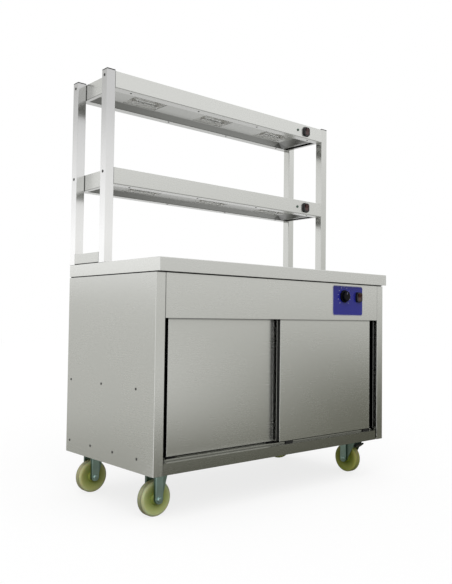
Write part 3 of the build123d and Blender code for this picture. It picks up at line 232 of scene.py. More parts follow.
# Grain: what a sanding belt leaves on sheet steel, fine straight scratches one way, with faint broad clouds.
# Every metal and plastic on the cupboard takes its small unevenness from this one group.
def grain_group():
    """Noise on stretched Object coordinates for the scratches, and plain low noise for the clouds."""
    group = bpy.data.node_groups.new("surface_grain", "ShaderNodeTree")
    for name in ("Stretch", "Cloud Size"):
        kind = "NodeSocketVector" if name == "Stretch" else "NodeSocketFloat"
        group.interface.new_socket(name, in_out="INPUT", socket_type=kind)
    for name in ("Scratch", "Cloud"):
        group.interface.new_socket(name, in_out="OUTPUT", socket_type="NodeSocketFloat")
    inside = group.nodes.new("NodeGroupInput")
    outside = group.nodes.new("NodeGroupOutput")
    place = group.nodes.new("ShaderNodeTexCoord")
    stretch = add_node(group, "ShaderNodeVectorMath", operation="MULTIPLY")
    scratch = add_node(group, "ShaderNodeTexNoise", Scale=1.0, Detail=3.0, Roughness=0.7)
    cloud = add_node(group, "ShaderNodeTexNoise", Detail=3.0, Roughness=0.55)
    group.links.new(place.outputs["Object"], stretch.inputs[0])
    group.links.new(inside.outputs["Stretch"], stretch.inputs[1])
    group.links.new(stretch.outputs[0], scratch.inputs["Vector"])
    group.links.new(place.outputs["Object"], cloud.inputs["Vector"])
    group.links.new(inside.outputs["Cloud Size"], cloud.inputs["Scale"])
    group.links.new(scratch.outputs["Fac"], outside.inputs["Scratch"])
    group.links.new(cloud.outputs["Fac"], outside.inputs["Cloud"])
    return group


surface_grain = grain_group()


def painted_seam_shade(reach=0.010, darkest=0.12):
    """A painted-shade mask: it falls from 1 to its darkest value where another surface stands within reach,
    as shade falls in seams and corners.
    """
    def build(tree):
        near = add_node(tree, "ShaderNodeAmbientOcclusion", samples=6, Distance=reach)
        fall = add_node(tree, "ShaderNodeMapRange", From_Min=0.30, From_Max=0.85, To_Min=darkest, To_Max=1.0)
        tree.links.new(near.outputs["AO"], fall.inputs["Value"])
        return fall.outputs[0]
    return build


def shade_beyond(axis, start, end, darkest):
    """A mask that goes from 1 at start to its darkest value at end along one of the Object axes."""
    def build(tree):
        place = tree.nodes.new("ShaderNodeTexCoord")
        split = tree.nodes.new("ShaderNodeSeparateXYZ")
        fall = add_node(tree, "ShaderNodeMapRange", From_Min=start, From_Max=end, To_Min=1.0, To_Max=darkest)
        tree.links.new(place.outputs["Object"], split.inputs[0])
        tree.links.new(split.outputs[axis], fall.inputs["Value"])
        return fall.outputs[0]
    return build


def dark_line(axis, place, half_width, darkest, mirrored=False):
    """A painted-shade mask that dips to its darkest value at one place along an Object axis, as a shadow line
    at a sharp bend.
    """
    def build(tree):
        position = tree.nodes.new("ShaderNodeTexCoord")
        split = tree.nodes.new("ShaderNodeSeparateXYZ")
        offset = add_node(tree, "ShaderNodeMath", operation="SUBTRACT")
        offset.inputs[1].default_value = place
        away = add_node(tree, "ShaderNodeMath", operation="ABSOLUTE")
        fall = add_node(tree, "ShaderNodeMapRange", From_Max=half_width, To_Min=darkest, To_Max=1.0)
        tree.links.new(position.outputs["Object"], split.inputs[0])
        coordinate = split.outputs[axis]
        if mirrored:
            side = add_node(tree, "ShaderNodeMath", operation="ABSOLUTE")
            tree.links.new(coordinate, side.inputs[0])
            coordinate = side.outputs[0]
        tree.links.new(coordinate, offset.inputs[0])
        tree.links.new(offset.outputs[0], away.inputs[0])
        tree.links.new(away.outputs[0], fall.inputs["Value"])
        return fall.outputs[0]
    return build


def band_colours(stops):
    """Colours read off the piece's own "band" attribute, such as how far out a point is on a wheel."""
    def build(tree):
        reading = add_node(tree, "ShaderNodeAttribute", attribute_name="band")
        ramp = add_node(tree, "ShaderNodeValToRGB")
        elements = ramp.color_ramp.elements
        elements[0].position, elements[0].color = stops[0][0], (*stops[0][1], 1)
        elements[1].position, elements[1].color = stops[-1][0], (*stops[-1][1], 1)
        for place, colour in stops[1:-1]:
            elements.new(place).color = (*colour, 1)
        tree.links.new(reading.outputs["Fac"], ramp.inputs["Fac"])
        return ramp.outputs["Color"]
    return build


def finish_material(name, colour, metallic, rough, stretch=200.0, cloud_size=7.0, colour_swing=0.008,
                    rough_swing=0.010, bump_depth=0.0000006, masks=(), **sockets):
    """A Principled finish whose colour, roughness and bump follow the grain group's scratches and clouds.
    The colour is one value or a function that builds it, and each mask darkens it."""
    material, tree, output = new_material(name)
    shader = add_node(tree, "ShaderNodeBsdfPrincipled")
    shader.inputs["Metallic"].default_value = metallic
    for key, value in sockets.items():
        shader.inputs[key.replace("_", " ").title().replace("Ior", "IOR")].default_value = value
    grain = add_node(tree, "ShaderNodeGroup")
    grain.node_tree = surface_grain
    grain.inputs["Stretch"].default_value = stretch if isinstance(stretch, tuple) else (stretch,) * 3
    grain.inputs["Cloud Size"].default_value = cloud_size
    both = add_node(tree, "ShaderNodeMath", operation="ADD")
    shade = add_node(tree, "ShaderNodeMapRange", From_Min=0.6, From_Max=1.4, To_Min=1 - 2 * colour_swing)
    rubbed = add_node(tree, "ShaderNodeMapRange", From_Min=0.6, From_Max=1.4)
    rubbed.inputs["To Min"].default_value = max(0.02, rough - rough_swing)
    rubbed.inputs["To Max"].default_value = rough + rough_swing
    bump = add_node(tree, "ShaderNodeBump", Strength=1.0, Distance=bump_depth)
    tree.links.new(grain.outputs["Scratch"], both.inputs[0])
    tree.links.new(grain.outputs["Cloud"], both.inputs[1])
    tree.links.new(both.outputs[0], shade.inputs["Value"])
    tree.links.new(both.outputs[0], rubbed.inputs["Value"])
    tree.links.new(grain.outputs["Scratch"], bump.inputs["Height"])
    dye = None if isinstance(colour, tuple) else colour(tree)
    for dimmer in [shade.outputs[0], *[mask(tree) for mask in masks]]:
        product = add_node(tree, "ShaderNodeMix", data_type="RGBA", blend_type="MULTIPLY")
        product.inputs["Factor"].default_value = 1.0
        if dye is None:
            product.inputs["A"].default_value = (*colour, 1)
        else:
            tree.links.new(dye, product.inputs["A"])
        tree.links.new(dimmer, product.inputs["B"])
        dye = product.outputs["Result"]
    tree.links.new(dye, shader.inputs["Base Color"])
    tree.links.new(rubbed.outputs[0], shader.inputs["Roughness"])
    tree.links.new(bump.outputs[0], shader.inputs["Normal"])
    tree.links.new(shader.outputs[0], output.inputs["Surface"])
    return material


def dress(material, *names):
    """Give carried-over pieces their finish, in every material slot that they have."""
    for name in names:
        for slot in nodes[name].material_slots:
            slot.link = "OBJECT"
            slot.material = material


# Castor wheels: 125 mm wheels moulded in cream nylon that has yellowed to olive towards the hub.
# Each has a rounded tread, a dished face and a long hub, and turns on the axle bolt.
def new_piece(name, points, faces, material, body, crease=40.0, band=None):
    """A mesh object at the origin with its place in its mesh, smooth but for edges sharper than a crease."""
    mesh = bpy.data.meshes.new(name)
    mesh.from_pydata(np.asarray(points).tolist(), [], [face.tolist() for part in faces for face in part])
    skin = bmesh.new()
    skin.from_mesh(mesh)
    bmesh.ops.recalc_face_normals(skin, faces=skin.faces)
    skin.to_mesh(mesh)
    skin.free()
    mesh.shade_smooth()
    mesh.set_sharp_from_angle(angle=math.radians(crease))
    if band is not None:
        places = mesh.attributes.new("band", "FLOAT", "POINT")
        places.data.foreach_set("value", np.asarray(band, dtype=np.float32))
    mesh.materials.append(material)
    piece = bpy.data.objects.new(name, mesh)
    bpy.context.scene.collection.objects.link(piece)
    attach(piece, body)
    return piece


def unit(vector):
    """The same direction with length one."""
    vector = np.asarray(vector, dtype=float)
    return vector / np.linalg.norm(vector)


def cross_frame(axis):
    """Two directions square to an axis and to each other, which turn the right way round it."""
    axis = unit(axis)
    first = unit(np.cross((0.0, 0.0, 1.0) if abs(axis[2]) < 0.9 else (1.0, 0.0, 0.0), axis))
    return first, np.cross(axis, first)


def turned(centre, axis, along, radius, steps, bored=False):
    """A profile of distances along an axis and radii from it, carried round the axis in even steps of angle.
    A point is the centre, plus its distance along the axis, plus its radius times the cosine and sine
    directions. Radii may be one per ring or a grid. A bored profile closes on itself, others on the axis."""
    first, second = cross_frame(axis)
    angle = np.arange(steps) * (2 * math.pi / steps)
    radius = np.asarray(radius, dtype=float)
    along = np.asarray(along, dtype=float)
    reach = (radius[:, None] if radius.ndim == 1 else radius) * np.ones(steps)
    distance = (along[:, None] if along.ndim == 1 else along) * np.ones(steps)
    ring = np.cos(angle)[:, None] * first + np.sin(angle)[:, None] * second
    points = np.asarray(centre) + distance[..., None] * unit(axis) + reach[..., None] * ring
    rows = len(along)
    skin = grid_faces(rows, steps, True)
    last, count = (rows - 1) * steps, rows * steps
    here, following = np.arange(steps), (np.arange(steps) + 1) % steps
    if bored:
        seam = np.stack([last + here, last + following, following, here], axis=-1)
        return points.reshape(-1, 3), [skin, seam]
    poles = np.asarray(centre) + np.outer((distance[0, 0], distance[-1, 0]), unit(axis))
    low = np.stack([np.full(steps, count), following, here], axis=-1)
    high = np.stack([np.full(steps, count + 1), last + here, last + following], axis=-1)
    return np.concatenate([points.reshape(-1, 3), poles]), [skin, low, high]


def nylon(name, tint):
    """The wheels' finish, with its ring colours multiplied by a tint that holds both how far the nylon has
    yellowed and a painted light level for that wheel.
    """
    stops = (
        (0.10, (0.14, 0.16, 0.04)), (0.34, (0.24, 0.29, 0.06)), (0.60, (0.37, 0.41, 0.12)),
        (0.80, (0.48, 0.51, 0.20)), (0.90, (0.56, 0.58, 0.30)), (0.97, (0.50, 0.51, 0.28)),
        (1.0, (0.36, 0.36, 0.20)),
    )
    tinted = [(place, tuple(np.multiply(colour, tint))) for place, colour in stops]
    return finish_material(
        name, band_colours(tinted), metallic=0.0, rough=0.42, stretch=120.0, cloud_size=22.0,
        colour_swing=0.05, rough_swing=0.06, bump_depth=0.00002, subsurface_weight=0.15,
    )


wheel_radius, wheel_half, tread_round = 62.5 * mm, 17.0 * mm, 9.0 * mm
hub_radius, hub_half, bore_radius, dish_depth = 19.0 * mm, 22.0 * mm, 6.0 * mm, 3.5 * mm
rim_step, hub_fillet, hub_draft, hub_shoulder, hub_chamfer = 1.5 * mm, 5.0 * mm, 1.2 * mm, 3.0 * mm, 0.8 * mm
edge_turn = np.linspace(0, math.pi / 2, 8)
dish_share = np.linspace(0, 1, 14)
face_radius = wheel_radius - tread_round
dish_radius = face_radius - rim_step - dish_share * (face_radius - hub_radius - hub_fillet)
half_along = np.concatenate([
    [0.0, wheel_half * 0.6], wheel_half - tread_round * (1 - np.sin(edge_turn)),
    wheel_half - dish_depth * (1 - np.cos(math.pi * np.minimum(1, dish_share * 1.15))) / 2,
    [hub_half - hub_shoulder, hub_half - hub_chamfer, hub_half, hub_half - hub_chamfer],
])
half_radius = np.concatenate([
    [wheel_radius, wheel_radius], wheel_radius - tread_round * (1 - np.cos(edge_turn)), dish_radius,
    [hub_radius + hub_draft, hub_radius, bore_radius + 1.0 * mm, bore_radius],
])
wheel_along = np.concatenate([-half_along[::-1], half_along[1:]])
wheel_reach = np.concatenate([half_radius[::-1], half_radius[1:]])
wheel_steps = 96
wheel_band = np.repeat(wheel_reach / wheel_radius, wheel_steps)
# Per-castor tints: partly yellowing, partly painted light, with the left wheels painted lighter and the right
# ones darker.
castor_yellowing_and_light = {
    "front_left": (1.12, 1.15, 1.16),
    "rear_left": (1.24, 1.22, 1.12),
    "front_right": (0.94, 0.98, 0.46),
    "rear_right": (0.94, 0.98, 0.46),
}
joint_of = {joint["name"]: joint for joint in frame["record"]["behaviour"]["joints"]}
for castor, tint in castor_yellowing_and_light.items():
    spin = joint_of[castor + "_spin"]
    wheel_points, wheel_faces = turned(
        spin["pos_m"], spin["axis"], wheel_along, wheel_reach, wheel_steps, bored=True,
    )
    wheel = new_piece(
        castor + "_dished_wheel", wheel_points, wheel_faces, nylon(castor + "_nylon", tint),
        castor + "_roller", 30.0, wheel_band,
    )
    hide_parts(castor + "_wheel")


# Castor forks: pressed from zinc-plated sheet, bluish and a little cloudy, bolted up under the base channels.
# Each leg has a raised band pressed down its middle that ends in a round eye where the axle nut sits.
def shell(front, back):
    """Two grids of points with the same outline, joined round their edges into one closed skin."""
    rows, columns = front.shape[:2]
    count = rows * columns
    order = np.arange(count).reshape(rows, columns)
    rim = np.concatenate([order[0, :], order[1:, -1], order[-1, -2::-1], order[-2:0:-1, 0]])
    turn = np.roll(rim, -1)
    faces = grid_faces(rows, columns, False)
    sides = np.stack([rim, rim + count, turn + count, turn], axis=-1)
    points = np.concatenate([front.reshape(-1, 3), back.reshape(-1, 3)])
    return points, [faces, faces[:, ::-1] + count, sides]


leg_outside, band_half, band_rise, band_top = 25.5 * mm, 17.0 * mm, 9.0 * mm, 156.0 * mm
band_round, band_bite = 2.0 * mm, 0.5 * mm
nut_reach, nut_half, nut_crown, nut_sides = 10.5 * mm, 14.5 * mm, 3.0 * mm, 6
nut_rings, nut_taper = (0.0, nut_half - nut_crown, nut_half - 0.6 * mm, nut_half), (1.0, 1.0, 0.86, 0.5)
zinc_colour = (0.50, 0.68, 0.64)
zinc_finish = {
    "metallic": 1.0, "stretch": 80.0, "cloud_size": 30.0,
    "colour_swing": 0.06, "rough_swing": 0.05, "bump_depth": 0.00001,
}
# The forks, top plates and bolts take a darker, painted-shade copy of the zinc, and the axles and nuts the
# lighter one; both get painted shade in their seams.
zinc_shade = finish_material(
    "zinc_shade", (0.32, 0.44, 0.39), rough=0.40, masks=(painted_seam_shade(),), **zinc_finish,
)
zinc_plate = finish_material("zinc_plate", zinc_colour, rough=0.34, masks=(painted_seam_shade(0.004),), **zinc_finish)
# The raised bands are painted nearly black on their sides and rims as shade, rising to the plain zinc on
# their faces.
band_zinc_painted_shade = finish_material(
    "band_zinc_painted_shade", band_colours(((0.0, (0.07, 0.11, 0.09)), (0.85, (0.16, 0.24, 0.21)), (1.0, zinc_colour))),
    rough=0.34, **zinc_finish,
)
dress(zinc_shade, "fixed_forks", "front_right_fork", "rear_right_fork", "castor_top_plates", "castor_bolts")
dress(zinc_plate, "fixed_axles", "front_right_axle", "rear_right_axle")
upward = np.array((0.0, 0.0, 1.0))
band_across = np.sin(np.linspace(-math.pi / 2, math.pi / 2, 25))
band_down = np.concatenate([np.linspace(0, 0.8, 9), np.linspace(0.8, 1, 14)[1:]])
for castor in castor_yellowing_and_light:
    spin = joint_of[castor + "_spin"]
    body = "root" if castor.endswith("left") else castor + "_castor"
    axis = unit(spin["axis"])
    eye_height = spin["pos_m"][2]
    sideways = np.cross(upward, axis)
    band_points, band_faces, band_shade, start = [], [], [], 0
    nut_points, nut_faces, nut_start = [], [], 0
    for way in (-1, 1):
        outward, across = way * axis, way * sideways
        height = band_top + (eye_height - band_half - band_top) * band_down
        below = np.clip(eye_height - height, 0, band_half)
        width = np.sqrt(np.maximum(band_half**2 - below**2, (0.02 * band_half) ** 2))
        edge = np.minimum((1 - np.abs(band_across))[None, :] * width[:, None], 4 * band_round)
        from_end = np.minimum(height - (eye_height - band_half), 4 * band_round)[:, None]
        rise = band_rise * np.sqrt(1 - (1 - np.clip(np.minimum(edge, from_end) / band_round, 0, 1)) ** 2)
        flat = np.array((*spin["pos_m"][:2], 0.0)) + leg_outside * outward
        flat = flat + (width[:, None] * band_across)[..., None] * across + height[:, None, None] * upward
        front, back = flat + rise[..., None] * outward, flat - band_bite * outward
        points, faces = shell(front[::-1], back[::-1])
        band_points.append(points)
        band_shade.append(np.concatenate([rise[::-1].ravel() / band_rise, np.zeros(rise.size)]))
        band_faces.extend([part + start for part in faces])
        start += len(points)
        nut_along, nut_radius = leg_outside + np.array(nut_rings), nut_reach * np.array(nut_taper)
        points, faces = turned(spin["pos_m"], outward, nut_along, nut_radius, nut_sides)
        nut_points.append(points)
        nut_faces.extend([part + nut_start for part in faces])
        nut_start += len(points)
    new_piece(
        castor + "_fork_bands", np.concatenate(band_points), band_faces, band_zinc_painted_shade, body, 60.0,
        np.concatenate(band_shade),
    )
    new_piece(
        castor + "_axle_nuts", np.concatenate(nut_points), nut_faces, zinc_plate, body, 20.0,
    )


# Brake pedals: levers moulded in black plastic, pinned in the two swivel forks over their wheels.
# The same plastic serves for the small mouldings further up.
black_plastic = finish_material(
    "black_plastic", (0.006, 0.006, 0.007), metallic=0.0, rough=0.34, stretch=400.0, cloud_size=30.0,
    colour_swing=0.15, rough_swing=0.05, bump_depth=0.00001,
)
dress(black_plastic, "front_right_brake_pedal", "rear_right_brake_pedal")

# Base channels, shelf brackets and the upper door guide: plain stainless as it comes from the mill.
# The castors bolt to the channels, and screws through the side panels hold the brackets.
# Its seams get painted shade.
mill_steel = finish_material(
    "mill_steel", (0.56, 0.57, 0.55), metallic=1.0, rough=0.42, stretch=60.0,
    colour_swing=0.05, rough_swing=0.05, masks=(painted_seam_shade(),),
)
dress(mill_steel, "base_channels", "shelf_brackets", "upper_door_guide")

# Cabinet sheets: satin stainless, sanded along the length of each sheet, folded and spot-welded.
# The side panels' grain runs from front to back, and the others' runs from side to side.
steel_colour = (0.70, 0.705, 0.68)
grain_long, grain_short = 4.0, 700.0
satin_width = {"metallic": 1.0, "rough": 0.27, "stretch": (grain_long, grain_short, grain_short)}
satin_depth = {"metallic": 1.0, "rough": 0.27, "stretch": (grain_short, grain_long, grain_short)}
# Their seams get painted shade.
steel_across = finish_material("satin_steel_across", steel_colour, masks=(painted_seam_shade(),), **satin_width)
steel_deep = finish_material("satin_steel_deep", steel_colour, masks=(painted_seam_shade(),), **satin_depth)
# The bottom rail is a darker copy of the same satin steel, its darkness painted shade low down at the front.
rail_shaded_steel = finish_material("rail_shaded_steel", (0.44, 0.445, 0.41), masks=(painted_seam_shade(0.006),), **satin_width)
dress(steel_across, "back_panel", "cabinet_floor", "inner_shelf")
dress(rail_shaded_steel, "bottom_rail")
dress(steel_deep, "left_side_panel", "right_side_panel")

# Heating: two sheathed elements under a vented cover, a thermostat behind the fascia and a terminal block.
# The cable gland is a black plastic bush in the back panel, where a supply lead can pass.
element_sheath = finish_material(
    "element_sheath", (0.22, 0.19, 0.16), metallic=1.0, rough=0.45, stretch=100.0, cloud_size=20.0,
    colour_swing=0.15, rough_swing=0.05,
)
white_nylon = finish_material(
    "white_nylon", (0.78, 0.78, 0.73), metallic=0.0, rough=0.4, stretch=120.0, cloud_size=20.0,
    colour_swing=0.02, rough_swing=0.05, bump_depth=0.00001,
)
dress(element_sheath, "heating_elements")
dress(steel_across, "element_cover")
dress(white_nylon, "terminal_block")
dress(black_plastic, "thermostat_body", "cable_gland")

# Sliding doors: double-skinned satin steel on nylon glides, the right one in front of the left.
# The folded edges, the finger pulls and the pulls' lips lie in deep shade, which is painted dark into the
# steel, as are a shadow under the fascia and shade in the seams.
door_faces = {"left": -242.0 * mm, "right": -272.0 * mm}
lip_starts = {"left": (-567.8 * mm, -568.6 * mm), "right": (585.8 * mm, 586.6 * mm)}
recess_start, recess_end, recess_shade, lip_shade = 0.9 * mm, 2.2 * mm, 0.035, 0.45
under_fascia, under_fascia_shadow = (686.0 * mm, 693.0 * mm), 0.45
for door, face_y in door_faces.items():
    door_steel = finish_material(
        door + "_door_steel", steel_colour, **satin_width,
        masks=(
            shade_beyond("Y", face_y + recess_start, face_y + recess_end, recess_shade),
            shade_beyond("X", *lip_starts[door], lip_shade),
            shade_beyond("Z", *under_fascia, under_fascia_shadow),
            painted_seam_shade(0.006),
        ),
    )
    dress(door_steel, "door_" + door + "_outer")
    dress(steel_across, "door_" + door + "_inner")
    dress(black_plastic, "door_" + door + "_glides")

# Control fascia and plate: a satin steel panel with a thin blue plate laid on it and a pale bead round that.
# The plate is printed with a ring of plain tick marks for the thermostat.
blue_plate = finish_material(
    "blue_plate", (0.020, 0.023, 0.30), metallic=0.0, rough=0.24, cloud_size=20.0,
    colour_swing=0.05, rough_swing=0.04, bump_depth=0.000003, specular_ior_level=0.3,
)
pale_print = finish_material(
    "pale_print", (0.42, 0.42, 0.62), metallic=0.0, rough=0.4, cloud_size=20.0,
    colour_swing=0.03, rough_swing=0.04,
)
# The fascia is painted with a shadow line at both ends, where it meets the stiles, and with shade in its
# seams.
fascia_end, end_line_half, end_shadow_grey = 590.5 * mm, 4.0 * mm, 0.5
fascia_steel = finish_material(
    "fascia_steel", steel_colour, **satin_width,
    masks=(dark_line("X", fascia_end, end_line_half, end_shadow_grey, mirrored=True), painted_seam_shade(0.004)),
)
dress(fascia_steel, "control_fascia")
dress(blue_plate, "control_plate")
plate_low, plate_high = (np.array(corner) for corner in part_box("control_plate"))
line_half, line_rise, line_outset, plate_round = 1.6 * mm, 0.35 * mm, 1.4 * mm, 8.0 * mm
middle = (plate_low + plate_high)[[0, 2]] / 2
straight = (plate_high - plate_low)[[0, 2]] / 2 - plate_round
turn = np.linspace(0, 2 * math.pi, 65)[:-1]
ray = np.stack([np.cos(turn), np.sin(turn)], axis=-1)
corner = middle + straight * np.where(ray >= 0, 1.0, -1.0)
bead_turn = np.linspace(0, 2 * math.pi, 9)[:-1]
bead_offset = plate_round + line_outset + line_half * np.cos(bead_turn)
line_plan = corner[:, None, :] + bead_offset[None, :, None] * ray[:, None, :]
rows, columns = line_plan.shape[:2]
line_depth = np.broadcast_to(plate_high[1] - line_rise * (1 + np.sin(bead_turn)), (rows, columns))
line_points = np.stack([line_plan[..., 0], line_depth, line_plan[..., 1]], axis=-1)
last, here = (rows - 1) * columns, np.arange(columns)
following = (here + 1) % columns
line_seam = np.stack([last + here, last + following, following, here], axis=-1)
new_piece(
    "plate_edge_line", line_points.reshape(-1, 3), [grid_faces(rows, columns, True), line_seam],
    pale_print, "root", 50.0,
)


def bars(middles, first, second, third):
    """Small bars, each the eight corners that lie its three half-edges either way from its middle."""
    signs = np.array([[x, y, z] for x in (-1, 1) for y in (-1, 1) for z in (-1, 1)], dtype=float)
    edges = np.stack(np.broadcast_arrays(*(np.atleast_2d(edge) for edge in (first, second, third))), axis=-2)
    points = np.asarray(middles)[:, None, :] + np.einsum("ck,nkd->ncd", signs, edges)
    corners = np.array([[0, 1, 3, 2], [4, 6, 7, 5], [0, 4, 5, 1], [2, 3, 7, 6], [0, 2, 6, 4], [1, 5, 7, 3]])
    return points.reshape(-1, 3), [corners + 8 * k for k in range(len(points))]


knob_turn = joint_of["thermostat_turn"]
knob_x, _, knob_z = knob_turn["pos_m"]
tick_inner, tick_outer, tick_half, tick_rise = 37.5 * mm, 43.0 * mm, 1.1 * mm, 0.15 * mm
tick_angle = np.radians(np.linspace(-135, 135, 11))
tick_out = np.stack([np.sin(tick_angle), 0 * tick_angle, np.cos(tick_angle)], axis=-1)
tick_side = np.stack([np.cos(tick_angle), 0 * tick_angle, -np.sin(tick_angle)], axis=-1)
tick_middle = np.array((knob_x, plate_low[1] - tick_rise, knob_z)) + tick_out * (tick_inner + tick_outer) / 2
tick_length = tick_out * (tick_outer - tick_inner) / 2
tick_height = np.array((0.0, tick_rise, 0.0))
tick_points, tick_faces = bars(tick_middle, tick_length, tick_side * tick_half, tick_height)
new_piece("dial_ticks", tick_points, tick_faces, pale_print, "root", 20.0)

# Thermostat knob: black moulded plastic with a skirt and a fluted grip, pushed on the thermostat's spindle.
# A pale pointer line is printed on its front.
knob_black = finish_material(
    "knob_black", (0.002, 0.002, 0.005), metallic=0.0, rough=0.22, stretch=400.0, cloud_size=30.0,
    colour_swing=0.15, rough_swing=0.03, bump_depth=0.000004, specular_ior_level=0.10,
)
knob_along = np.array((0.0, 4.2, 5.0, 5.4, 6.4, 15.6, 16.7, 17.3, 17.4)) * mm
knob_reach = np.array((27.0, 27.0, 26.2, 23.5, 22.0, 21.4, 20.8, 19.6, 14.0)) * mm
knob_fluted = np.array((0, 0, 0, 0, 1, 1, 0.8, 0.3, 0))
flutes, flute_depth, knob_steps = 24, 0.06, 192
flute_turn = np.arange(knob_steps) * (2 * math.pi * flutes / knob_steps)
flute_share = (0.5 + 0.5 * np.cos(flute_turn)) ** 2
knob_grid = knob_reach[:, None] * (1 - flute_depth * knob_fluted[:, None] * flute_share)
knob_points, knob_faces = turned(knob_turn["pos_m"], (0, -1, 0), knob_along, knob_grid, knob_steps)
skirt_gap = 0.6 * mm
knob_points[:, 1] -= skirt_gap
knob = new_piece("fluted_knob", knob_points, knob_faces, knob_black, "knob", 35.0)
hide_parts("thermostat_knob")
pointer_out, pointer_half_width, pointer_half_length = 12.0 * mm, 0.8 * mm, 4.5 * mm
pointer_middle = np.array([(knob_x, knob_points[:, 1].min(), knob_z + pointer_out)])
pointer_points, pointer_faces = bars(
    pointer_middle, np.array((pointer_half_width, 0, 0)), np.array((0, tick_rise, 0)),
    np.array((0, 0, pointer_half_length)),
)
new_piece("knob_pointer", pointer_points, pointer_faces, pale_print, "knob", 20.0)

# Rocker switches and indicators: black bezels clipped into the plate and the shelves' front lips.
# The rockers are a red-brown translucent plastic, and the indicators have a dark green lens.
amber_rocker = finish_material(
    "amber_rocker", (0.06, 0.012, 0.010), metallic=0.0, rough=0.2, coat_weight=0.3,
)
green_lens = finish_material("green_lens", (0.01, 0.06, 0.03), metallic=0.0, rough=0.12, coat_weight=0.5)
dress(black_plastic, "switch_bodies")
dress(amber_rocker, "main_rocker", "upper_rocker", "lower_rocker")
dress(green_lens, "indicator_lamps")

# Worktop: one satin steel sheet with turned-down edges, laid on strips of black rubber on the cabinet's top.
# Its left end catches the light, and the rest is painted a shade greyer, with painted shade in its seams.
black_rubber = finish_material(
    "black_rubber", (0.010, 0.010, 0.010), metallic=0.0, rough=0.65, cloud_size=20.0,
    colour_swing=0.1, rough_swing=0.05,
)
dress(black_rubber, "worktop_seal")
end_to_front, front_painted_shade = (-632.2 * mm, -631.4 * mm), 0.875
worktop_steel = finish_material(
    "worktop_steel", (0.80, 0.805, 0.78), **satin_width,
    masks=(shade_beyond("X", *end_to_front, front_painted_shade), painted_seam_shade()),
)
dress(worktop_steel, "worktop")

# Gantry: four posts of 38 mm polished square tube with black caps, tied by a crossbar at each end.
# Dark domed bolts go through the outer faces of the posts into the shelves.
# The left posts are painted near white, with painted shade growing towards their tops, and the right posts
# are a darker, shaded copy of the same polish; all get painted shade in their seams.
polish_height = {"metallic": 1.0, "rough": 0.17, "stretch": (grain_short, grain_short, grain_long)}
post_dimming, post_top_painted_shade = (1000.0 * mm, 1500.0 * mm), 0.58
polished_lit_left = finish_material(
    "polished_steel_lit_left", (0.985, 0.985, 0.98), **polish_height,
    masks=(shade_beyond("Z", *post_dimming, post_top_painted_shade), painted_seam_shade(0.006)),
)
polished_shaded_right = finish_material(
    "polished_steel_shaded_right", (0.63, 0.635, 0.61), masks=(painted_seam_shade(0.006),), **polish_height,
)
dress(polished_lit_left, "front_left_post", "rear_left_post")
dress(polished_shaded_right, "front_right_post", "rear_right_post")
dress(steel_deep, "gantry_crossbars")
dress(black_plastic, "post_caps")


def domed_heads(places, directions, radius, height, cross):
    """Domed fastener heads: rings go in from the rim of each head, and angles go round it.
    A point stands out by the height times the root of one less its squared share of the radius, and drops by
    the recess inside the arms of a cross, where the lesser of its two flat coordinates is small."""
    steps, share = 24, np.linspace(1, 0.08, 9)
    angle = np.arange(steps) * (2 * math.pi / steps)
    flat = np.abs(np.stack([share[:, None] * np.cos(angle), share[:, None] * np.sin(angle)]))
    arm_width, arm_length = np.clip((0.2 - flat.min(axis=0)) / 0.06, 0, 1), (0.66 - flat.max(axis=0)) / 0.08
    arms = arm_width * np.clip(arm_length, 0, 1)
    dome = height * np.sqrt(1 - (0.9 * share[:, None]) ** 2) - 0.6 * height * cross * arms
    along = np.concatenate([np.zeros((1, steps)), dome])
    reach = np.concatenate([np.full((1, steps), radius), radius * share[:, None] * np.ones(steps)])
    points, faces, start = [], [], 0
    for place, direction in zip(places, directions):
        head_points, head_faces = turned(place, direction, along, reach, steps)
        points.append(head_points)
        faces.extend([part + start for part in head_faces])
        start += len(head_points)
    return np.concatenate(points), faces


dark_steel = finish_material(
    "dark_steel", (0.09, 0.09, 0.088), metallic=1.0, rough=0.34, stretch=300.0, cloud_size=60.0,
    colour_swing=0.1, rough_swing=0.06,
)
post_face, bolt_above_shelf, post_middles = 632.5 * mm, 46.0 * mm, (69.5 * mm, 291.5 * mm)
shelf_bottoms = (1570.0 * mm, 1200.0 * mm)
bolt_places = np.array([
    (side * post_face, y, bottom + bolt_above_shelf)
    for side in (-1, 1) for bottom in shelf_bottoms for y in post_middles
])
bolt_ways = np.sign(bolt_places) * (1, 0, 0)
bolt_radius, bolt_height = 5.5 * mm, 2.0 * mm
bolt_points, bolt_faces = domed_heads(bolt_places, bolt_ways, bolt_radius, bolt_height, cross=0.0)
bolt_heads = new_piece("gantry_bolt_heads", bolt_points, bolt_faces, dark_steel, "root", 45.0)
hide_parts("gantry_bolts")

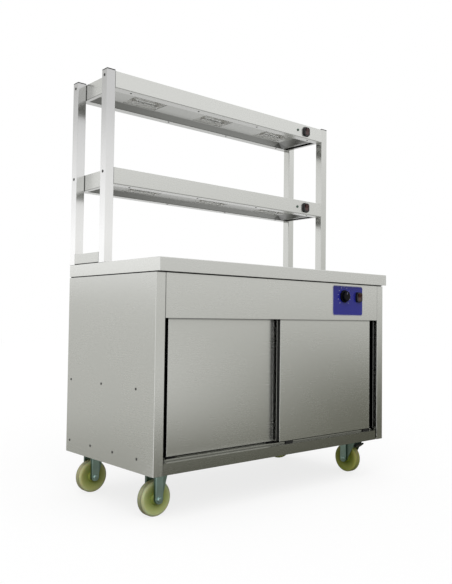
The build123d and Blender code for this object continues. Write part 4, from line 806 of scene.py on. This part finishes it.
# Shelves: satin steel trays folded at the lips, each with a pressed panel screwed up under it.
# The panel has three lamp openings, and pale reflectors stand in them.
# Painted shade: a shadow line along each tray's lip fold, a darker tray underside and darker seams. The lamp
# panels are painted a darker grey than the trays as shade under the shelf, the lower a little more, with a
# shadow line along their front edge and darker towards their rear and right end.
panel_shaded_greys = {"upper": (0.36, 0.365, 0.345), "lower": (0.34, 0.345, 0.325)}
lip_shadow_line, lip_shadow_half, underside_from = 2.2 * mm, 2.0 * mm, 0.2 * mm
panel_front, panel_front_half = 87.5 * mm, 5.0 * mm
panel_rear_shade, panel_end_shade = (235.0 * mm, 239.0 * mm), (479.0 * mm, 483.0 * mm)
for tier, bottom in zip(("upper", "lower"), shelf_bottoms):
    tray_steel = finish_material(
        tier + "_tray_steel", (0.66, 0.665, 0.64), **satin_width,
        masks=(
            dark_line("Z", bottom + lip_shadow_line, lip_shadow_half, 0.3),
            shade_beyond("Z", bottom + underside_from, bottom, 0.66),
            painted_seam_shade(),
        ),
    )
    panel_steel = finish_material(
        tier + "_lamp_panel_steel", panel_shaded_greys[tier], **{**satin_width, "rough": 0.32},
        masks=(
            dark_line("Y", panel_front, panel_front_half, 0.2),
            shade_beyond("Y", *panel_rear_shade, 0.60),
            shade_beyond("X", *panel_end_shade, 0.45),
            painted_seam_shade(0.006),
        ),
    )
    dress(tray_steel, tier + "_shelf_tray")
    dress(panel_steel, tier + "_lamp_panel")
reflector_metal = finish_material(
    "reflector_metal", (0.97, 0.97, 0.95), metallic=0.15, rough=0.45, stretch=40.0,
    colour_swing=0.02, rough_swing=0.04,
)
dress(reflector_metal, "upper_reflectors", "lower_reflectors")

# Lamps: quartz tubes, each held at both ends in a white ceramic block fixed up inside the reflector.
# A thin coil of tungsten wire runs along the middle of each tube.
quartz = finish_material(
    "quartz", (0.95, 0.96, 0.95), metallic=0.0, rough=0.05, cloud_size=20.0,
    colour_swing=0.0, rough_swing=0.02, transmission_weight=0.8, ior=1.46,
)
white_ceramic = finish_material(
    "white_ceramic", (0.80, 0.79, 0.75), metallic=0.0, rough=0.25, cloud_size=20.0,
    colour_swing=0.02, rough_swing=0.04,
)
tungsten = finish_material(
    "tungsten", (0.20, 0.18, 0.16), metallic=1.0, rough=0.4, stretch=900.0, cloud_size=60.0,
    colour_swing=0.1, rough_swing=0.05,
)
dress(quartz, "lamp_tubes")
dress(white_ceramic, "lamp_holders")
coil_half, coil_turns, coil_radius, wire_radius = 46.0 * mm, 23, 1.8 * mm, 0.45 * mm
rings_per_turn, wire_sides = 10, 6
wind = np.linspace(0, 1, coil_turns * rings_per_turn + 1)
wind_turn = 2 * math.pi * coil_turns * wind
wire_turn = (np.arange(wire_sides) * (2 * math.pi / wire_sides))[None, :, None]
coil_out = np.stack([0 * wind, np.cos(wind_turn), np.sin(wind_turn)], axis=-1)
coil_line = coil_radius * coil_out + np.stack([coil_half * (2 * wind - 1), 0 * wind, 0 * wind], axis=-1)
wire_ring = np.cos(wire_turn) * coil_out[:, None, :] + np.sin(wire_turn) * np.array((1.0, 0, 0))
coil = coil_line[:, None, :] + wire_radius * wire_ring
rows, columns = coil.shape[:2]
wire_end = np.arange(columns)[None, :]
coil_skin = [grid_faces(rows, columns, True), wire_end[:, ::-1], (rows - 1) * columns + wire_end]
lamp_y, lamp_above_shelf = 180.5 * mm, 19.0 * mm
lamp_middles = np.array([
    (x * mm, lamp_y, bottom + lamp_above_shelf) for bottom in shelf_bottoms for x in (-370.0, 0.0, 371.0)
])
filament_points = (lamp_middles[:, None, None, :] + coil).reshape(-1, 3)
filament_faces = [part + k * rows * columns for k in range(len(lamp_middles)) for part in coil_skin]
new_piece("filament_coils", filament_points, filament_faces, tungsten, "root", 60.0)

# Screws: dark steel pan heads with cross recesses, driven into the side panels and up into the shelf trays.
# The upper three in each side hold the inner shelf's brackets, and the lower four the cabinet's floor.
side_face = 631.0 * mm
side_places = [
    (side * side_face, y * mm, z * mm)
    for side in (-1, 1)
    for y, z in ((282, 445.7), (53, 445.7), (-178, 445.7), (284, 206), (124, 206), (-33, 206), (-190, 206))
]
side_ways = [(math.copysign(1, place[0]), 0, 0) for place in side_places]
tray_places = [
    (x * mm, y * mm, bottom) for bottom in shelf_bottoms for x in (-512, -172, 168, 509) for y in (69.5, 285)
]
tray_ways = [(0, 0, -1)] * len(tray_places)
side_radius, side_height, tray_radius, tray_height = 4.5 * mm, 1.8 * mm, 4.0 * mm, 1.5 * mm
side_points, side_faces = domed_heads(side_places, side_ways, side_radius, side_height, cross=1.0)
tray_points, tray_faces = domed_heads(tray_places, tray_ways, tray_radius, tray_height, cross=1.0)
screw_heads = new_piece(
    "cross_recess_screws", np.concatenate([side_points, tray_points]),
    side_faces + [part + len(side_points) for part in tray_faces], dark_steel, "root", 40.0,
)
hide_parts("panel_screws")
